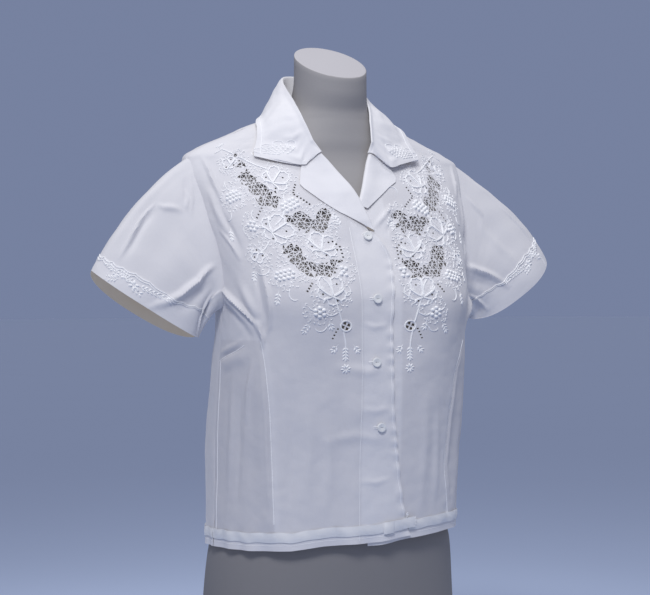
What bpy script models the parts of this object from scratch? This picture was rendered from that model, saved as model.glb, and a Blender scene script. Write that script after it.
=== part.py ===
# A short-sleeved summer blouse with cutwork fronts, standing on a limbless dress form.
# Metres, +Z up. The front faces -Y and the wearer's right is -X.
import math

import bmesh
import bpy
import numpy as np
from mathutils import Vector
from mathutils.geometry import delaunay_2d_cdt

CLOTH = 0.0012  # wall of one cloth layer
SEAM_GAP = 0.00035  # between two pieces that meet
LAYER = CLOTH + SEAM_GAP  # one cloth layer further out
OVERLAP_RISE = 0.0025  # the right front over the left one
TRIM_RISE = 0.0005  # extra room under tapes and the collar
GIRTH_RADIUS = 0.146  # turns an angle around the body into a distance
SIDE = GIRTH_RADIUS * math.pi / 2  # side seam, measured round from the centre front
BACK_CENTRE = GIRTH_RADIUS * math.pi

# Rings of the worn blouse from hem to neck. Columns: run up the cloth, height, half width, centre y,
# depth before the centre, depth behind it, squareness in front, squareness behind
BODY_RINGS = np.array([
    (0.150, 0.150, 0.158, 0.002, 0.117, 0.114, 0.03, 0.03),
    (0.284, 0.284, 0.157, 0.000, 0.117, 0.112, 0.04, 0.03),
    (0.353, 0.353, 0.158, -0.007, 0.114, 0.108, 0.05, 0.03),
    (0.400, 0.400, 0.158, -0.014, 0.108, 0.104, 0.06, 0.03),
    (0.447, 0.447, 0.158, -0.021, 0.098, 0.100, 0.06, 0.02),
    (0.476, 0.476, 0.160, -0.023, 0.095, 0.100, 0.07, 0.02),
    (0.517, 0.517, 0.165, -0.014, 0.093, 0.102, 0.06, 0.04),
    (0.545, 0.545, 0.171, -0.006, 0.090, 0.100, 0.04, 0.05),
    (0.568, 0.568, 0.177, 0.002, 0.089, 0.096, 0.02, 0.04),
    (0.600, 0.600, 0.184, 0.012, 0.084, 0.084, -0.03, 0.00),
    (0.630, 0.628, 0.189, 0.020, 0.075, 0.070, -0.10, -0.03),
    (0.650, 0.645, 0.187, 0.024, 0.071, 0.059, -0.15, -0.05),
    (0.670, 0.656, 0.170, 0.025, 0.068, 0.054, -0.16, -0.05),
    (0.694, 0.666, 0.148, 0.025, 0.066, 0.050, -0.16, -0.05),
    (0.722, 0.677, 0.122, 0.025, 0.064, 0.045, -0.14, -0.04),
    (0.751, 0.688, 0.095, 0.025, 0.062, 0.039, -0.10, -0.03),
    (0.776, 0.697, 0.072, 0.025, 0.060, 0.033, -0.04, 0.00),
    (0.790, 0.702, 0.062, 0.025, 0.059, 0.029, 0.00, 0.00),
])
# Rings of the dress form below the shoulders, in the same columns
FORM_LOWER_RINGS = np.array([
    (0.000, 0.000, 0.157, 0.008, 0.110, 0.112, 0.04, 0.03),
    (0.060, 0.060, 0.162, 0.008, 0.114, 0.117, 0.04, 0.03),
    (0.116, 0.116, 0.159, 0.008, 0.113, 0.114, 0.03, 0.03),
    (0.182, 0.182, 0.1535, 0.005, 0.110, 0.106, 0.03, 0.03),
    (0.235, 0.235, 0.132, -0.002, 0.094, 0.092, 0.03, 0.03),
    (0.284, 0.284, 0.119, -0.004, 0.086, 0.080, 0.03, 0.03),
    (0.340, 0.340, 0.125, -0.010, 0.088, 0.080, 0.03, 0.03),
    (0.400, 0.400, 0.138, -0.016, 0.090, 0.084, 0.04, 0.03),
    (0.447, 0.447, 0.147, -0.022, 0.084, 0.088, 0.05, 0.03),
    (0.476, 0.476, 0.150, -0.024, 0.084, 0.090, 0.05, 0.03),
    (0.517, 0.517, 0.152, -0.014, 0.083, 0.090, 0.04, 0.03),
    (0.568, 0.568, 0.160, 0.002, 0.080, 0.084, 0.00, 0.02),
    (0.600, 0.600, 0.166, 0.012, 0.076, 0.074, -0.04, -0.01),
    (0.630, 0.628, 0.168, 0.020, 0.071, 0.064, -0.11, -0.04),
    (0.650, 0.643, 0.164, 0.024, 0.069, 0.056, -0.15, -0.05),
    (0.670, 0.655, 0.160, 0.025, 0.067, 0.053, -0.16, -0.05),
])
# Rings of the neck above the shoulder line; the last one is the edge of the slanted top
FORM_NECK_RINGS = np.array([
    (0.800, 0.710, 0.053, 0.014, 0.048, 0.036, 0.00, 0.00),
    (0.812, 0.722, 0.0485, 0.0075, 0.043, 0.041, 0.00, 0.00),
    (0.830, 0.740, 0.0467, 0.0045, 0.0415, 0.0415, 0.00, 0.00),
    (0.854, 0.765, 0.0467, 0.0045, 0.041, 0.041, 0.00, 0.00),
])
FORM_RINGS = np.vstack([FORM_LOWER_RINGS, BODY_RINGS[-5:], FORM_NECK_RINGS])
FORM_CLEARANCE = 0.0009  # form surface inside the cloth where the cloth rests on it
NECK_SLANT = 0.56  # rise of the neck's top per metre towards the back
SLANT_STARTS = 0.795
FORM_SIDES = 32
FORM_BUST = 0.9  # share of the cloth's bust swell that the form has

# Broad swells. Columns: distance round, run up, reach round, reach up, height
BUST_SWELLS = [
    (-0.082, 0.468, 0.045, 0.052, 0.013),
    (0.082, 0.468, 0.045, 0.052, 0.013),
]
# Raised folds of the body. Columns: start round, start run, end round, end run, half width, height
BODY_FOLDS = [
    (-0.143, 0.424, -0.120, 0.190, 0.012, 0.0035),
    (0.143, 0.424, 0.120, 0.190, 0.012, 0.0035),
    (-0.214, 0.484, -0.150, 0.440, 0.009, 0.0060),
    (-0.166, 0.490, -0.140, 0.452, 0.007, 0.0045),
    (0.206, 0.488, 0.152, 0.446, 0.009, 0.0055),
    (-0.212, 0.400, -0.160, 0.412, 0.008, 0.0025),
    (0.210, 0.402, 0.160, 0.412, 0.008, 0.0025),
    (-0.178, 0.600, -0.168, 0.560, 0.006, 0.0035),
    (0.180, 0.604, 0.170, 0.562, 0.006, 0.0030),
    (0.330, 0.560, 0.345, 0.300, 0.016, 0.0035),
    (0.590, 0.560, 0.572, 0.310, 0.016, 0.0035),
    (0.400, 0.420, 0.392, 0.200, 0.018, 0.0030),
    (0.520, 0.430, 0.530, 0.200, 0.018, 0.0030),
]

# Hem heights. Columns: distance round from the centre front, height
HEM_RIGHT = [(-0.230, 0.184), (-0.150, 0.183), (-0.100, 0.184), (-0.065, 0.189), (0.0, 0.192),
             (0.05, 0.199)]
HEM_LEFT = [(-0.03, 0.187), (0.0, 0.188), (0.04, 0.194), (0.12, 0.200), (0.230, 0.196)]
HEM_BACK = [(0.228, 0.196), (0.35, 0.189), (0.459, 0.186), (0.60, 0.185), (0.690, 0.184)]
TAPE_LOW = 0.0100  # tape above the hem edge
TAPE_WIDTH = 0.0112
TAPE_THICK = 0.0010
TAPE_LEVEL = 0.200  # run at which the x of the tab and the loose end are read
TAB_X = (0.0046, 0.0180)
TAPE_END_X = (0.0184, 0.0470)
TAB_BOW = 0.0006

# The buttoned edge. Columns: run, x of the right front's edge
RIGHT_EDGE = [(0.150, 0.043), (0.205, 0.040), (0.232, 0.033), (0.290, 0.024), (0.360, 0.016),
              (0.440, 0.015), (0.520, 0.021), (0.545, 0.010), (0.556, 0.003)]
UNDERLAP_X = -0.014  # edge of the left front beneath the right one
OVERLAP_STARTS = -0.050  # the right front begins to rise over the left one
OVERLAP_FULL = -0.026

# Neck edges and roll lines. Columns: x, run
NECK_RIGHT = [(-0.066, 0.7755), (-0.058, 0.745), (-0.051, 0.715), (-0.0465, 0.690), (-0.0440, 0.668)]
ROLL_RIGHT = [(-0.0425, 0.664), (-0.030, 0.636), (-0.0185, 0.613), (-0.0095, 0.594), (-0.003, 0.573),
              (0.003, 0.556)]
NECK_LEFT = [(0.066, 0.7755), (0.058, 0.745), (0.051, 0.715), (0.0465, 0.690), (0.0420, 0.668)]
ROLL_LEFT = [(0.0285, 0.664), (0.0215, 0.641), (0.0115, 0.619), (0.0005, 0.598), (-0.006, 0.586)]
NECK_BACK = [(0.06, 0.7855), (0.15, 0.782), (0.25, 0.7755)]  # distance from the back centre, run
LAPEL_SETBACK = 0.0048  # the front's own edge lies this far inside the lapel's roll
LAPEL_RIGHT_EDGE = [(-0.005, 0.5615), (-0.033, 0.577), (-0.056, 0.594), (-0.0705, 0.607),
                    (-0.0735, 0.612), (-0.0655, 0.6355)]
LAPEL_LEFT_EDGE = [(0.0035, 0.5835), (0.020, 0.595), (0.043, 0.611), (0.0555, 0.618),
                   (0.0580, 0.623), (0.0500, 0.647)]
LAPEL_RISE = 0.0030  # how far the roll stands off the front
LAPEL_ROLL_REACH = 0.011
LAPEL_ROLL_ROW = 0.0024  # second row of points beside the roll
LAPEL_STEPS = (0.0095, 0.0085)  # spacing of points round and up, as for the two larger panels
FRONT_STEPS = (0.0190, 0.0190)
BACK_STEPS = (0.0250, 0.0330)

# Collar stations on the wearer's left, from the back centre to the gorge. Columns: seam distance round,
# seam run, roll x, roll y, roll z, edge distance round, edge run
COLLAR_STATIONS = np.array([
    (0.459, 0.788, 0.000, 0.069, 0.751, 0.459, 0.745),
    (0.400, 0.787, 0.026, 0.063, 0.750, 0.412, 0.746),
    (0.340, 0.785, 0.044, 0.045, 0.745, 0.342, 0.753),
    (0.270, 0.783, 0.052, 0.019, 0.731, 0.252, 0.762),
    (0.168, 0.779, 0.050, -0.007, 0.712, 0.180, 0.735),
    (0.160, 0.745, 0.0450, -0.028, 0.690, 0.138, 0.694),
    (0.118, 0.700, 0.0395, -0.042, 0.665, 0.1095, 0.650),
])
NECK_STATION = 4.0  # from this station on, the collar's seam follows the fronts' neck edges
NECK_TOP_RUN = 0.7785
NECK_RUN_STEP = 0.048  # drop of the seam's run for each further station
NECK_LOW_RUN = 0.668  # where the seam ends at the gorge
NECK_INSET = 0.0011  # the seam lies this far inside the fronts' neck edges
COLLAR_SKEW = 0.0085  # the collar points sit a little to the wearer's right
ROLL_SKEW_RIGHT = (-0.0085, 0.0)  # and so do the ends of the fold, in x and y
ROLL_SKEW_LEFT = (-0.0115, -0.0065)
COLLAR_COLUMNS = 17  # grid columns on one half, closer together towards its end
FOLD_RADIUS = 0.0022  # inside of the collar's fold
NOTCH_BOW = 0.025  # how far the collar's end dips to the notch
NOTCH_WAY_RIGHT = Vector((0.18, -0.35, -0.94))
NOTCH_WAY_LEFT = Vector((0.0, -0.35, -0.94))
OVER_LAPEL = 0.0042  # how far the collar's left end rises over the lapel
STAND_START = 0.0011  # the stand begins this far above the neck edge

# Armhole and sleeve
ARMHOLE_TOP = 0.648
ARMHOLE_BOTTOM = 0.467
ARMHOLE_TOP_ROUND = 0.216
REACH_FRONT = 0.028
REACH_BACK = 0.050
SLEEVE_SIDES = 32
SLEEVE_RINGS = 9
# Sleeve hem corners per side: outer corner, inner corner (x outwards from the centre)
SLEEVE_HEMS = {
    "right": (-1, Vector((0.314, 0.002, 0.510)), Vector((0.183, -0.004, 0.434))),
    "left": (1, Vector((0.309, 0.002, 0.529)), Vector((0.196, 0.000, 0.454))),
}
SLEEVE_DEPTH = 0.033  # half depth of the flattened sleeve at its hem
SLEEVE_DROOP = 0.012  # the hem's middle hangs lower than its corners
SLEEVE_LIFT = 0.0003  # beyond one layer over the armhole edge
# Sleeve folds. Columns: start angle, start run, end angle, end run (angle in turns from the outer
# edge to the front, run from armhole 0 to hem 1), half width, height
SLEEVE_FOLDS = [
    (0.30, 0.02, 0.235, 0.95, 0.009, 0.0065),
    (0.40, 0.10, 0.44, 0.90, 0.008, -0.0040),
    (0.10, 0.22, 0.13, 0.68, 0.004, 0.0022),
    (0.17, 0.05, 0.19, 0.30, 0.007, 0.0030),
    (0.72, 0.05, 0.75, 0.85, 0.010, 0.0045),
    (0.60, 0.15, 0.58, 0.80, 0.009, -0.0035),
]

BUTTON_RADIUS = 0.0052
BUTTON_THICK = 0.0022
# Buttons. Columns: x, run
BUTTONS = [(-0.0050, 0.5500), (-0.0060, 0.4770), (-0.0085, 0.4030), (-0.0010, 0.3270)]

# Cutwork nets on one front, in plain ellipses. Columns: x outwards, run, half length, half width, slope
NETS = [
    (0.117, 0.616, 0.021, 0.015, 0.5),
    (0.098, 0.574, 0.013, 0.008, -0.5),
    (0.073, 0.570, 0.024, 0.015, 0.3),
    (0.100, 0.533, 0.016, 0.014, -0.9),
    (0.075, 0.511, 0.017, 0.011, -0.6),
    (0.048, 0.519, 0.019, 0.010, 0.2),
]
MOTIF_MIDDLE = -0.004  # x of the line between the two fronts' nets
NET_PITCH = 0.0066  # between two gaps of a net
NET_GAP = 0.0048  # width of one gap
# Larger single gaps. Columns: x outwards, run, radius
LARGE_GAPS = [(0.042, 0.448, 0.0050), (0.052, 0.440, 0.0045), (0.045, 0.434, 0.0030),
              (0.127, 0.655, 0.0026)]


def between(table, at):
    # Straight reading of a two-column table
    table = np.asarray(table)
    order = np.argsort(table[:, 0])
    return np.interp(at, table[order, 0], table[order, 1])


def through_rows(table, at):
    # Smooth reading of every column against the first one, without overshoot
    runs = table[:, 0]
    steps = np.diff(runs)[:, None]
    slopes = np.diff(table, axis=0) / steps
    before, after = slopes[:-1], slopes[1:]
    same_way = before * after > 0
    total = np.where(same_way, before + after, 1.0)
    middle = np.where(same_way, 2 * before * after / total, 0.0)
    tangents = np.vstack([slopes[:1], middle, slopes[-1:]])
    at = np.clip(at, runs[0], runs[-1])
    row = np.clip(np.searchsorted(runs, at, side="right") - 1, 0, len(runs) - 2)
    step = steps[row]
    t = (at - runs[row])[:, None] / step
    start = (1 + 2 * t) * (1 - t) ** 2 * table[row] + t * (1 - t) ** 2 * step * tangents[row]
    return start + t * t * (3 - 2 * t) * table[row + 1] + t * t * (t - 1) * step * tangents[row + 1]


def ring_points(rings, around, run):
    # Points of a ringed surface from distance round and run up it
    angle = around / GIRTH_RADIUS
    _, z, half, centre, before, behind, square_front, square_back = through_rows(rings, run).T
    front = np.cos(angle) > 0
    bulge = 1 + np.where(front, square_front, square_back) * np.sin(2 * angle) ** 2
    depth = np.where(front, before, behind)
    return np.stack([half * np.sin(angle) * bulge, centre - depth * np.cos(angle) * bulge, z], axis=1)


def outward(rings, around, run):
    # Unit normals of a ringed surface
    small = 0.0015
    across = ring_points(rings, around + small, run) - ring_points(rings, around - small, run)
    up = ring_points(rings, around, run + small) - ring_points(rings, around, run - small)
    normal = np.cross(across, up)
    return normal / np.linalg.norm(normal, axis=1)[:, None]


def ridge(along, across, fold):
    # Height of one fold at points given in two flat coordinates, fading towards its ends
    x0, y0, x1, y1, width, height = fold
    dx, dy = x1 - x0, y1 - y0
    length = math.hypot(dx, dy)
    t = ((along - x0) * dx + (across - y0) * dy) / length**2
    off = ((along - x0) * dy - (across - y0) * dx) / length
    inside = np.clip(t, 0, 1)
    past = (t - inside) * length
    fade = 0.35 + 0.65 * np.sin(math.pi * inside)
    return height * fade * np.exp(-(off**2 + past**2) / width**2)


def body_swell(around, run):
    total = np.zeros_like(around)
    for centre, middle, reach_round, reach_up, height in BUST_SWELLS:
        spread = ((around - centre) / reach_round) ** 2 + ((run - middle) / reach_up) ** 2
        total += height * np.exp(-spread)
    return total


def body_points(around, run, lift=0.0):
    # Inner face of the worn cloth, moved out by lift
    around = np.asarray(around, dtype=float)
    run = np.asarray(run, dtype=float)
    height = body_swell(around, run) + lift
    for fold in BODY_FOLDS:
        height = height + ridge(around, run, fold)
    normal = outward(BODY_RINGS, around, run)
    return ring_points(BODY_RINGS, around, run) + normal * np.reshape(height, (-1, 1))


def round_at(x, run):
    # Distance round the front at which the body ring of this run has the given x
    around = np.linspace(-SIDE, SIDE, 241)
    xs = ring_points(BODY_RINGS, around, np.full_like(around, run))[:, 0]
    return float(np.interp(x, xs, around))


def flat_line(points):
    return [Vector((round_at(x, run), run)) for x, run in points]


def spaced(points, step):
    # The same line with a point about every step
    line = [Vector(points[0])]
    for start, end in zip(points[:-1], points[1:]):
        start, end = Vector(start), Vector(end)
        count = max(1, round((end - start).length / step))
        line += [start.lerp(end, (i + 1) / count) for i in range(count)]
    return line


def closed_outline(*lines):
    # Joins lines end to end and drops doubled points
    outline = []
    for line in lines:
        for point in line:
            if not outline or (point - outline[-1]).length > 1e-4:
                outline.append(point)
    if (outline[0] - outline[-1]).length < 1e-4:
        outline.pop()
    return outline


def inside_loop(points, loop):
    # Even-odd test of many flat points against one loop
    points = np.asarray(points)
    loop = np.asarray([tuple(p) for p in loop])
    x, y = points[:, 0:1], points[:, 1:2]
    x0, y0 = loop[:, 0], loop[:, 1]
    x1, y1 = np.roll(x0, -1), np.roll(y0, -1)
    height = np.where(y1 == y0, 1e-12, y1 - y0)
    crosses = (y0 > y) != (y1 > y)
    return (np.sum(crosses & (x < (x1 - x0) * (y - y0) / height + x0), axis=1) % 2) == 1


def clear_of(points, loop, distance):
    # True where a flat point is at least this far from the loop's edges
    points = np.asarray(points)
    start = np.asarray([tuple(p) for p in loop])
    side = np.roll(start, -1, axis=0) - start
    length2 = np.maximum(np.sum(side**2, axis=1), 1e-12)
    rel = points[:, None, :] - start[None]
    t = np.clip(np.sum(rel * side, axis=2) / length2, 0, 1)
    away = np.linalg.norm(rel - t[..., None] * side, axis=2)
    return away.min(axis=1) > distance


def filled(outline, holes, step_round, step_up):
    # Triangles over a flat outline with holes, from a staggered lattice
    flat = np.asarray([tuple(p) for p in outline])
    low, high = flat.min(axis=0), flat.max(axis=0)
    lattice = []
    rows = int((high[1] - low[1]) / step_up) + 1
    count = int((high[0] - low[0]) / step_round) + 1
    for row in range(rows):
        shift = 0.5 * (row % 2)
        level = low[1] + (row + 0.5) * step_up
        lattice += [(low[0] + (i + shift) * step_round, level) for i in range(count)]
    lattice = np.asarray(lattice)
    keep = inside_loop(lattice, outline) & clear_of(lattice, outline, 0.45 * min(step_round, step_up))
    for hole in holes:
        keep &= ~inside_loop(lattice, hole) & clear_of(lattice, hole, 0.0030)
    points = [Vector(p) for p in outline]
    edges = [(i, (i + 1) % len(outline)) for i in range(len(outline))]
    for hole in holes:
        first = len(points)
        points += [Vector(p) for p in hole]
        edges += [(first + i, first + (i + 1) % len(hole)) for i in range(len(hole))]
    points += [Vector(p) for p in lattice[keep]]
    verts, _, faces, _, _, _ = delaunay_2d_cdt(points, edges, [], 0, 1e-6)
    verts = np.asarray([tuple(p) for p in verts])
    faces = np.asarray([tuple(f) for f in faces])
    middles = verts[faces].mean(axis=1)
    keep = inside_loop(middles, outline)
    for hole in holes:
        keep &= ~inside_loop(middles, hole)
    return verts, faces[keep]


def new_object(name, points, faces, material, collection):
    mesh = bpy.data.meshes.new(name)
    mesh.from_pydata([tuple(p) for p in points], [], [tuple(int(i) for i in f) for f in faces])
    mesh.materials.append(material)
    made = bpy.data.objects.new(name, mesh)
    collection.objects.link(made)
    loose = bmesh.new()
    loose.from_mesh(mesh)
    bmesh.ops.delete(loose, geom=[v for v in loose.verts if not v.link_faces], context="VERTS")
    loose.to_mesh(mesh)
    loose.free()
    return made


def thicken(made, thickness):
    # The open surface is the inner face; the wall grows outwards
    shell = made.modifiers.new("Wall", "SOLIDIFY")
    shell.thickness = thickness
    shell.offset = 1.0
    return made


def panel(name, outline, holes, steps, lift, thickness, material, collection):
    # One flat piece laid on the body
    verts, faces = filled(outline, holes, *steps)
    around, run = verts[:, 0], verts[:, 1]
    points = body_points(around, run, lift(around, run))
    made = new_object(name, points, faces, material, collection)
    normal = outward(BODY_RINGS, around[faces[0]].mean(keepdims=True), run[faces[0]].mean(keepdims=True))[0]
    if Vector(normal).dot(made.data.polygons[0].normal) < 0:
        made.data.flip_normals()
    return thicken(made, thickness)


def cloth_material(name, colour, roughness):
    material = bpy.data.materials.new(name)
    material.use_nodes = True
    shader = material.node_tree.nodes["Principled BSDF"]
    shader.inputs["Base Color"].default_value = (*colour, 1.0)
    shader.inputs["Roughness"].default_value = roughness
    shader.inputs["Metallic"].default_value = 0.0
    return material


def ring_mesh(rings_of_points, closed_round=True):
    # Quads between rings with the same count of points
    count = len(rings_of_points[0])
    points = [p for ring in rings_of_points for p in ring]
    last = count if closed_round else count - 1
    faces = []
    for r in range(len(rings_of_points) - 1):
        for i in range(last):
            j = (i + 1) % count
            faces.append((r * count + i, r * count + j, (r + 1) * count + j, (r + 1) * count + i))
    return points, faces


def build_form(collection):
    material = cloth_material("form_grey", (0.27, 0.27, 0.30), 0.75)
    around = np.arange(FORM_SIDES) * 2 * BACK_CENTRE / FORM_SIDES
    runs = list(np.linspace(0.0, 0.180, 4)) + list(np.linspace(0.225, 0.630, 9))
    runs += [0.648, 0.660, 0.676, 0.696, 0.722, 0.751, 0.776, 0.790, 0.800, 0.812, 0.830, 0.854]
    rings = []
    for run in runs:
        level = np.full_like(around, run)
        inset = -FORM_CLEARANCE if run > 0.64 else 0.0
        ring = ring_points(FORM_RINGS, around, level) + outward(FORM_RINGS, around, level) * inset
        if run < 0.600:
            ring += outward(FORM_RINGS, around, level) * body_swell(around, level)[:, None] * FORM_BUST
        if run == 0.0:
            ring[:, 2] = 0.0
        if run > SLANT_STARTS:
            share = min(1.0, (run - SLANT_STARTS) / (runs[-1] - SLANT_STARTS))
            height, _, centre = through_rows(FORM_RINGS, np.array([run]))[0, 1:4]
            ring[:, 2] = height + share * NECK_SLANT * (ring[:, 1] - centre)
        rings.append(ring)
    points, faces = ring_mesh(rings)
    count = FORM_SIDES
    faces.append(tuple(reversed(range(count))))
    faces.append(tuple(range(len(points) - count, len(points))))
    return new_object("dress_form", points, faces, material, collection)


def armhole_line(side, steps, start=0.0, end=2 * math.pi, grow=0.0):
    # Points of an armhole from the shoulder round the front, in distance round and run
    line = []
    for step in range(steps + 1):
        turn = start + (end - start) * step / steps
        mix = (1 - math.cos(turn)) / 2
        middle = ARMHOLE_TOP_ROUND + (SIDE - ARMHOLE_TOP_ROUND) * mix
        reach = (REACH_FRONT if math.sin(turn) > 0 else REACH_BACK) + grow
        around = middle - reach * math.sin(turn)
        run = ARMHOLE_TOP + grow - (ARMHOLE_TOP - ARMHOLE_BOTTOM + 2 * grow) * mix
        line.append(Vector((side * around, run)))
    return line


def net_gap(centre, turn, sides):
    # One small gap of a net in flat coordinates
    radius = 0.5 * NET_GAP / math.cos(math.pi / sides) ** 0.5
    angles = [turn + 2 * math.pi * i / sides for i in range(sides)]
    return [centre + Vector((radius * math.cos(a), radius * math.sin(a))) for a in angles]


def cutwork(side, seed):
    # Gaps of all nets on one front, mirrored for the other, as flat loops
    chance = np.random.default_rng(seed)
    loops = []
    for x, run, half_length, half_width, slope in NETS:
        rows = int(half_length / NET_PITCH) + 1
        for row in range(-rows, rows + 1):
            for column in range(-rows - 1, rows + 2):
                along = (column + 0.5 * (row % 2)) * NET_PITCH
                across = row * NET_PITCH * 0.87
                if (along / half_length) ** 2 + (across / half_width) ** 2 > 1:
                    continue
                shift = chance.uniform(-0.0004, 0.0004, 2)
                gap_x = x + along * math.cos(slope) - across * math.sin(slope) + shift[0]
                gap_run = run + along * math.sin(slope) + across * math.cos(slope) + shift[1]
                centre = Vector((round_at(MOTIF_MIDDLE + side * gap_x, gap_run), gap_run))
                if all((centre - loop_middle(other)).length > NET_PITCH * 0.93 for other in loops):
                    loops.append(net_gap(centre, chance.uniform(0, 1.5), int(chance.integers(4, 6))))
    for x, run, radius in LARGE_GAPS:
        centre = Vector((round_at(MOTIF_MIDDLE + side * x, run), run))
        angles = [2 * math.pi * i / 7 for i in range(7)]
        loops.append([centre + radius * Vector((math.cos(a), 0.85 * math.sin(a))) for a in angles])
    return loops


def loop_middle(loop):
    return sum(loop, Vector((0.0, 0.0))) / len(loop)


def build_front(side, collection, material):
    # A front from its hem to the shoulder, with the cutwork cut through
    right = side < 0
    hem = HEM_RIGHT if right else HEM_LEFT
    neck = NECK_RIGHT if right else NECK_LEFT
    roll = ROLL_RIGHT if right else ROLL_LEFT
    seam = SIDE - SEAM_GAP / 2
    if right:
        edge = [(x, run) for run, x in RIGHT_EDGE]
        edge[0] = (edge[0][0], float(between(hem, round_at(edge[0][0], 0.19))))
    else:
        edge = [(UNDERLAP_X, float(between(hem, round_at(UNDERLAP_X, 0.19)))), (UNDERLAP_X, 0.576)]
    first = round_at(edge[0][0], edge[0][1])
    hem_rounds = np.linspace(side * seam, first, 18)
    hem_line = [Vector((a, float(between(hem, a)))) for a in hem_rounds]
    edge_line = spaced(flat_line(edge), 0.030)
    set_back = [(x + side * LAPEL_SETBACK, run) for x, run in reversed(roll)]
    roll_line = spaced(flat_line(set_back), 0.014)
    neck_line = spaced(flat_line(list(reversed(neck))), 0.016)
    shoulder_round = side * ARMHOLE_TOP_ROUND
    shoulder = spaced([(shoulder_round, neck[0][1]), (shoulder_round, ARMHOLE_TOP)], 0.020)
    armhole = armhole_line(side, 14, 0.0, math.pi)
    armhole[-1].x = side * seam
    side_hem = float(between(hem, side * SIDE))
    side_line = spaced([(side * seam, ARMHOLE_BOTTOM), (side * seam, side_hem)], 0.028)
    outline = closed_outline(hem_line, edge_line, roll_line, neck_line, shoulder, armhole, side_line)
    holes = cutwork(side, 7 if right else 11)

    def lift(around, run):
        return front_rise(around, run) if right else np.zeros_like(around)

    name = "front_right" if right else "front_left"
    return panel(name, outline, holes, FRONT_STEPS, lift, CLOTH, material, collection)


def build_back(collection, material):
    # The whole back between the two side seams
    low, high = SIDE + SEAM_GAP / 2, 3 * SIDE - SEAM_GAP / 2
    hem_line = [Vector((a, float(between(HEM_BACK, a)))) for a in np.linspace(low, high, 30)]
    far_armhole = [Vector((4 * SIDE + p.x, p.y)) for p in armhole_line(-1, 14, math.pi, 2 * math.pi)]
    near_armhole = armhole_line(1, 14, math.pi, 2 * math.pi)
    far_armhole[0].x = high
    near_armhole[0].x = low
    top = NECK_BACK[-1][1]
    near_seam = ARMHOLE_TOP_ROUND + 2.4 * SEAM_GAP
    far_seam = 4 * SIDE - near_seam
    far_shoulder = spaced([(far_seam, ARMHOLE_TOP), (far_seam, top)], 0.020)
    near_shoulder = spaced([(near_seam, ARMHOLE_TOP), (near_seam, top)], 0.020)
    far_armhole[-1].x = far_seam
    near_armhole[-1].x = near_seam
    neck = [Vector((a, float(between(NECK_BACK, abs(a - BACK_CENTRE)))))
            for a in np.linspace(far_seam, near_seam, 18)]
    up_far = spaced([(high, float(between(HEM_BACK, high))), (high, ARMHOLE_BOTTOM)], 0.028)
    down_near = spaced([(low, ARMHOLE_BOTTOM), (low, float(between(HEM_BACK, low)))], 0.028)
    outline = closed_outline(hem_line, up_far, far_armhole, far_shoulder, neck, near_shoulder[::-1],
                             near_armhole[::-1], down_near)

    def lift(around, run):
        return np.zeros_like(around)

    return panel("back", outline, [], BACK_STEPS, lift, CLOTH, material, collection)


def build_lapel(side, collection, material):
    # The turned-back part of a front, lying on it and rolling at its inner edge
    right = side < 0
    roll = ROLL_RIGHT if right else ROLL_LEFT
    edge = LAPEL_RIGHT_EDGE if right else LAPEL_LEFT_EDGE
    roll_line = spaced(flat_line(roll), 0.011)
    edge_line = spaced(flat_line(edge), 0.011)
    gorge = edge_line[-1].lerp(roll_line[0], 0.78)
    outline = closed_outline(roll_line, edge_line, [gorge])
    inner = [p + Vector((side * LAPEL_ROLL_ROW, 0.0)) for p in roll_line[1:-1]]
    flat_roll = np.asarray([tuple(p) for p in roll_line])

    def lift(around, run):
        here = np.stack([around, run], axis=1)
        near = np.min(np.linalg.norm(here[:, None] - dense_roll[None], axis=2), axis=1)
        base = LAYER + 1.6 * TRIM_RISE + (front_rise(around, run) if right else 0.0)
        risen = base + LAPEL_RISE * np.exp(-(near / LAPEL_ROLL_REACH) ** 2)
        at_roll = SEAM_GAP + (front_rise(around, run) if right else 0.0)
        return np.where(near < SEAM_GAP, at_roll, risen)

    steps = np.linspace(0, len(flat_roll) - 1, 160)
    corners = np.arange(len(flat_roll))
    dense_roll = np.stack([np.interp(steps, corners, flat_roll[:, k]) for k in range(2)], axis=1)
    name = "lapel_right" if right else "lapel_left"
    return panel_with_points(name, outline, inner, lift, CLOTH, material, collection)


def front_rise(around, run):
    # How far the right front lies above the body's inner face near the buttoned edge
    x = ring_points(BODY_RINGS, around, run)[:, 0]
    t = np.clip((x - OVERLAP_STARTS) / (OVERLAP_FULL - OVERLAP_STARTS), 0, 1)
    fade = np.clip((0.640 - run) / 0.040, 0, 1)
    return OVERLAP_RISE * t * t * (3 - 2 * t) * fade


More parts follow.
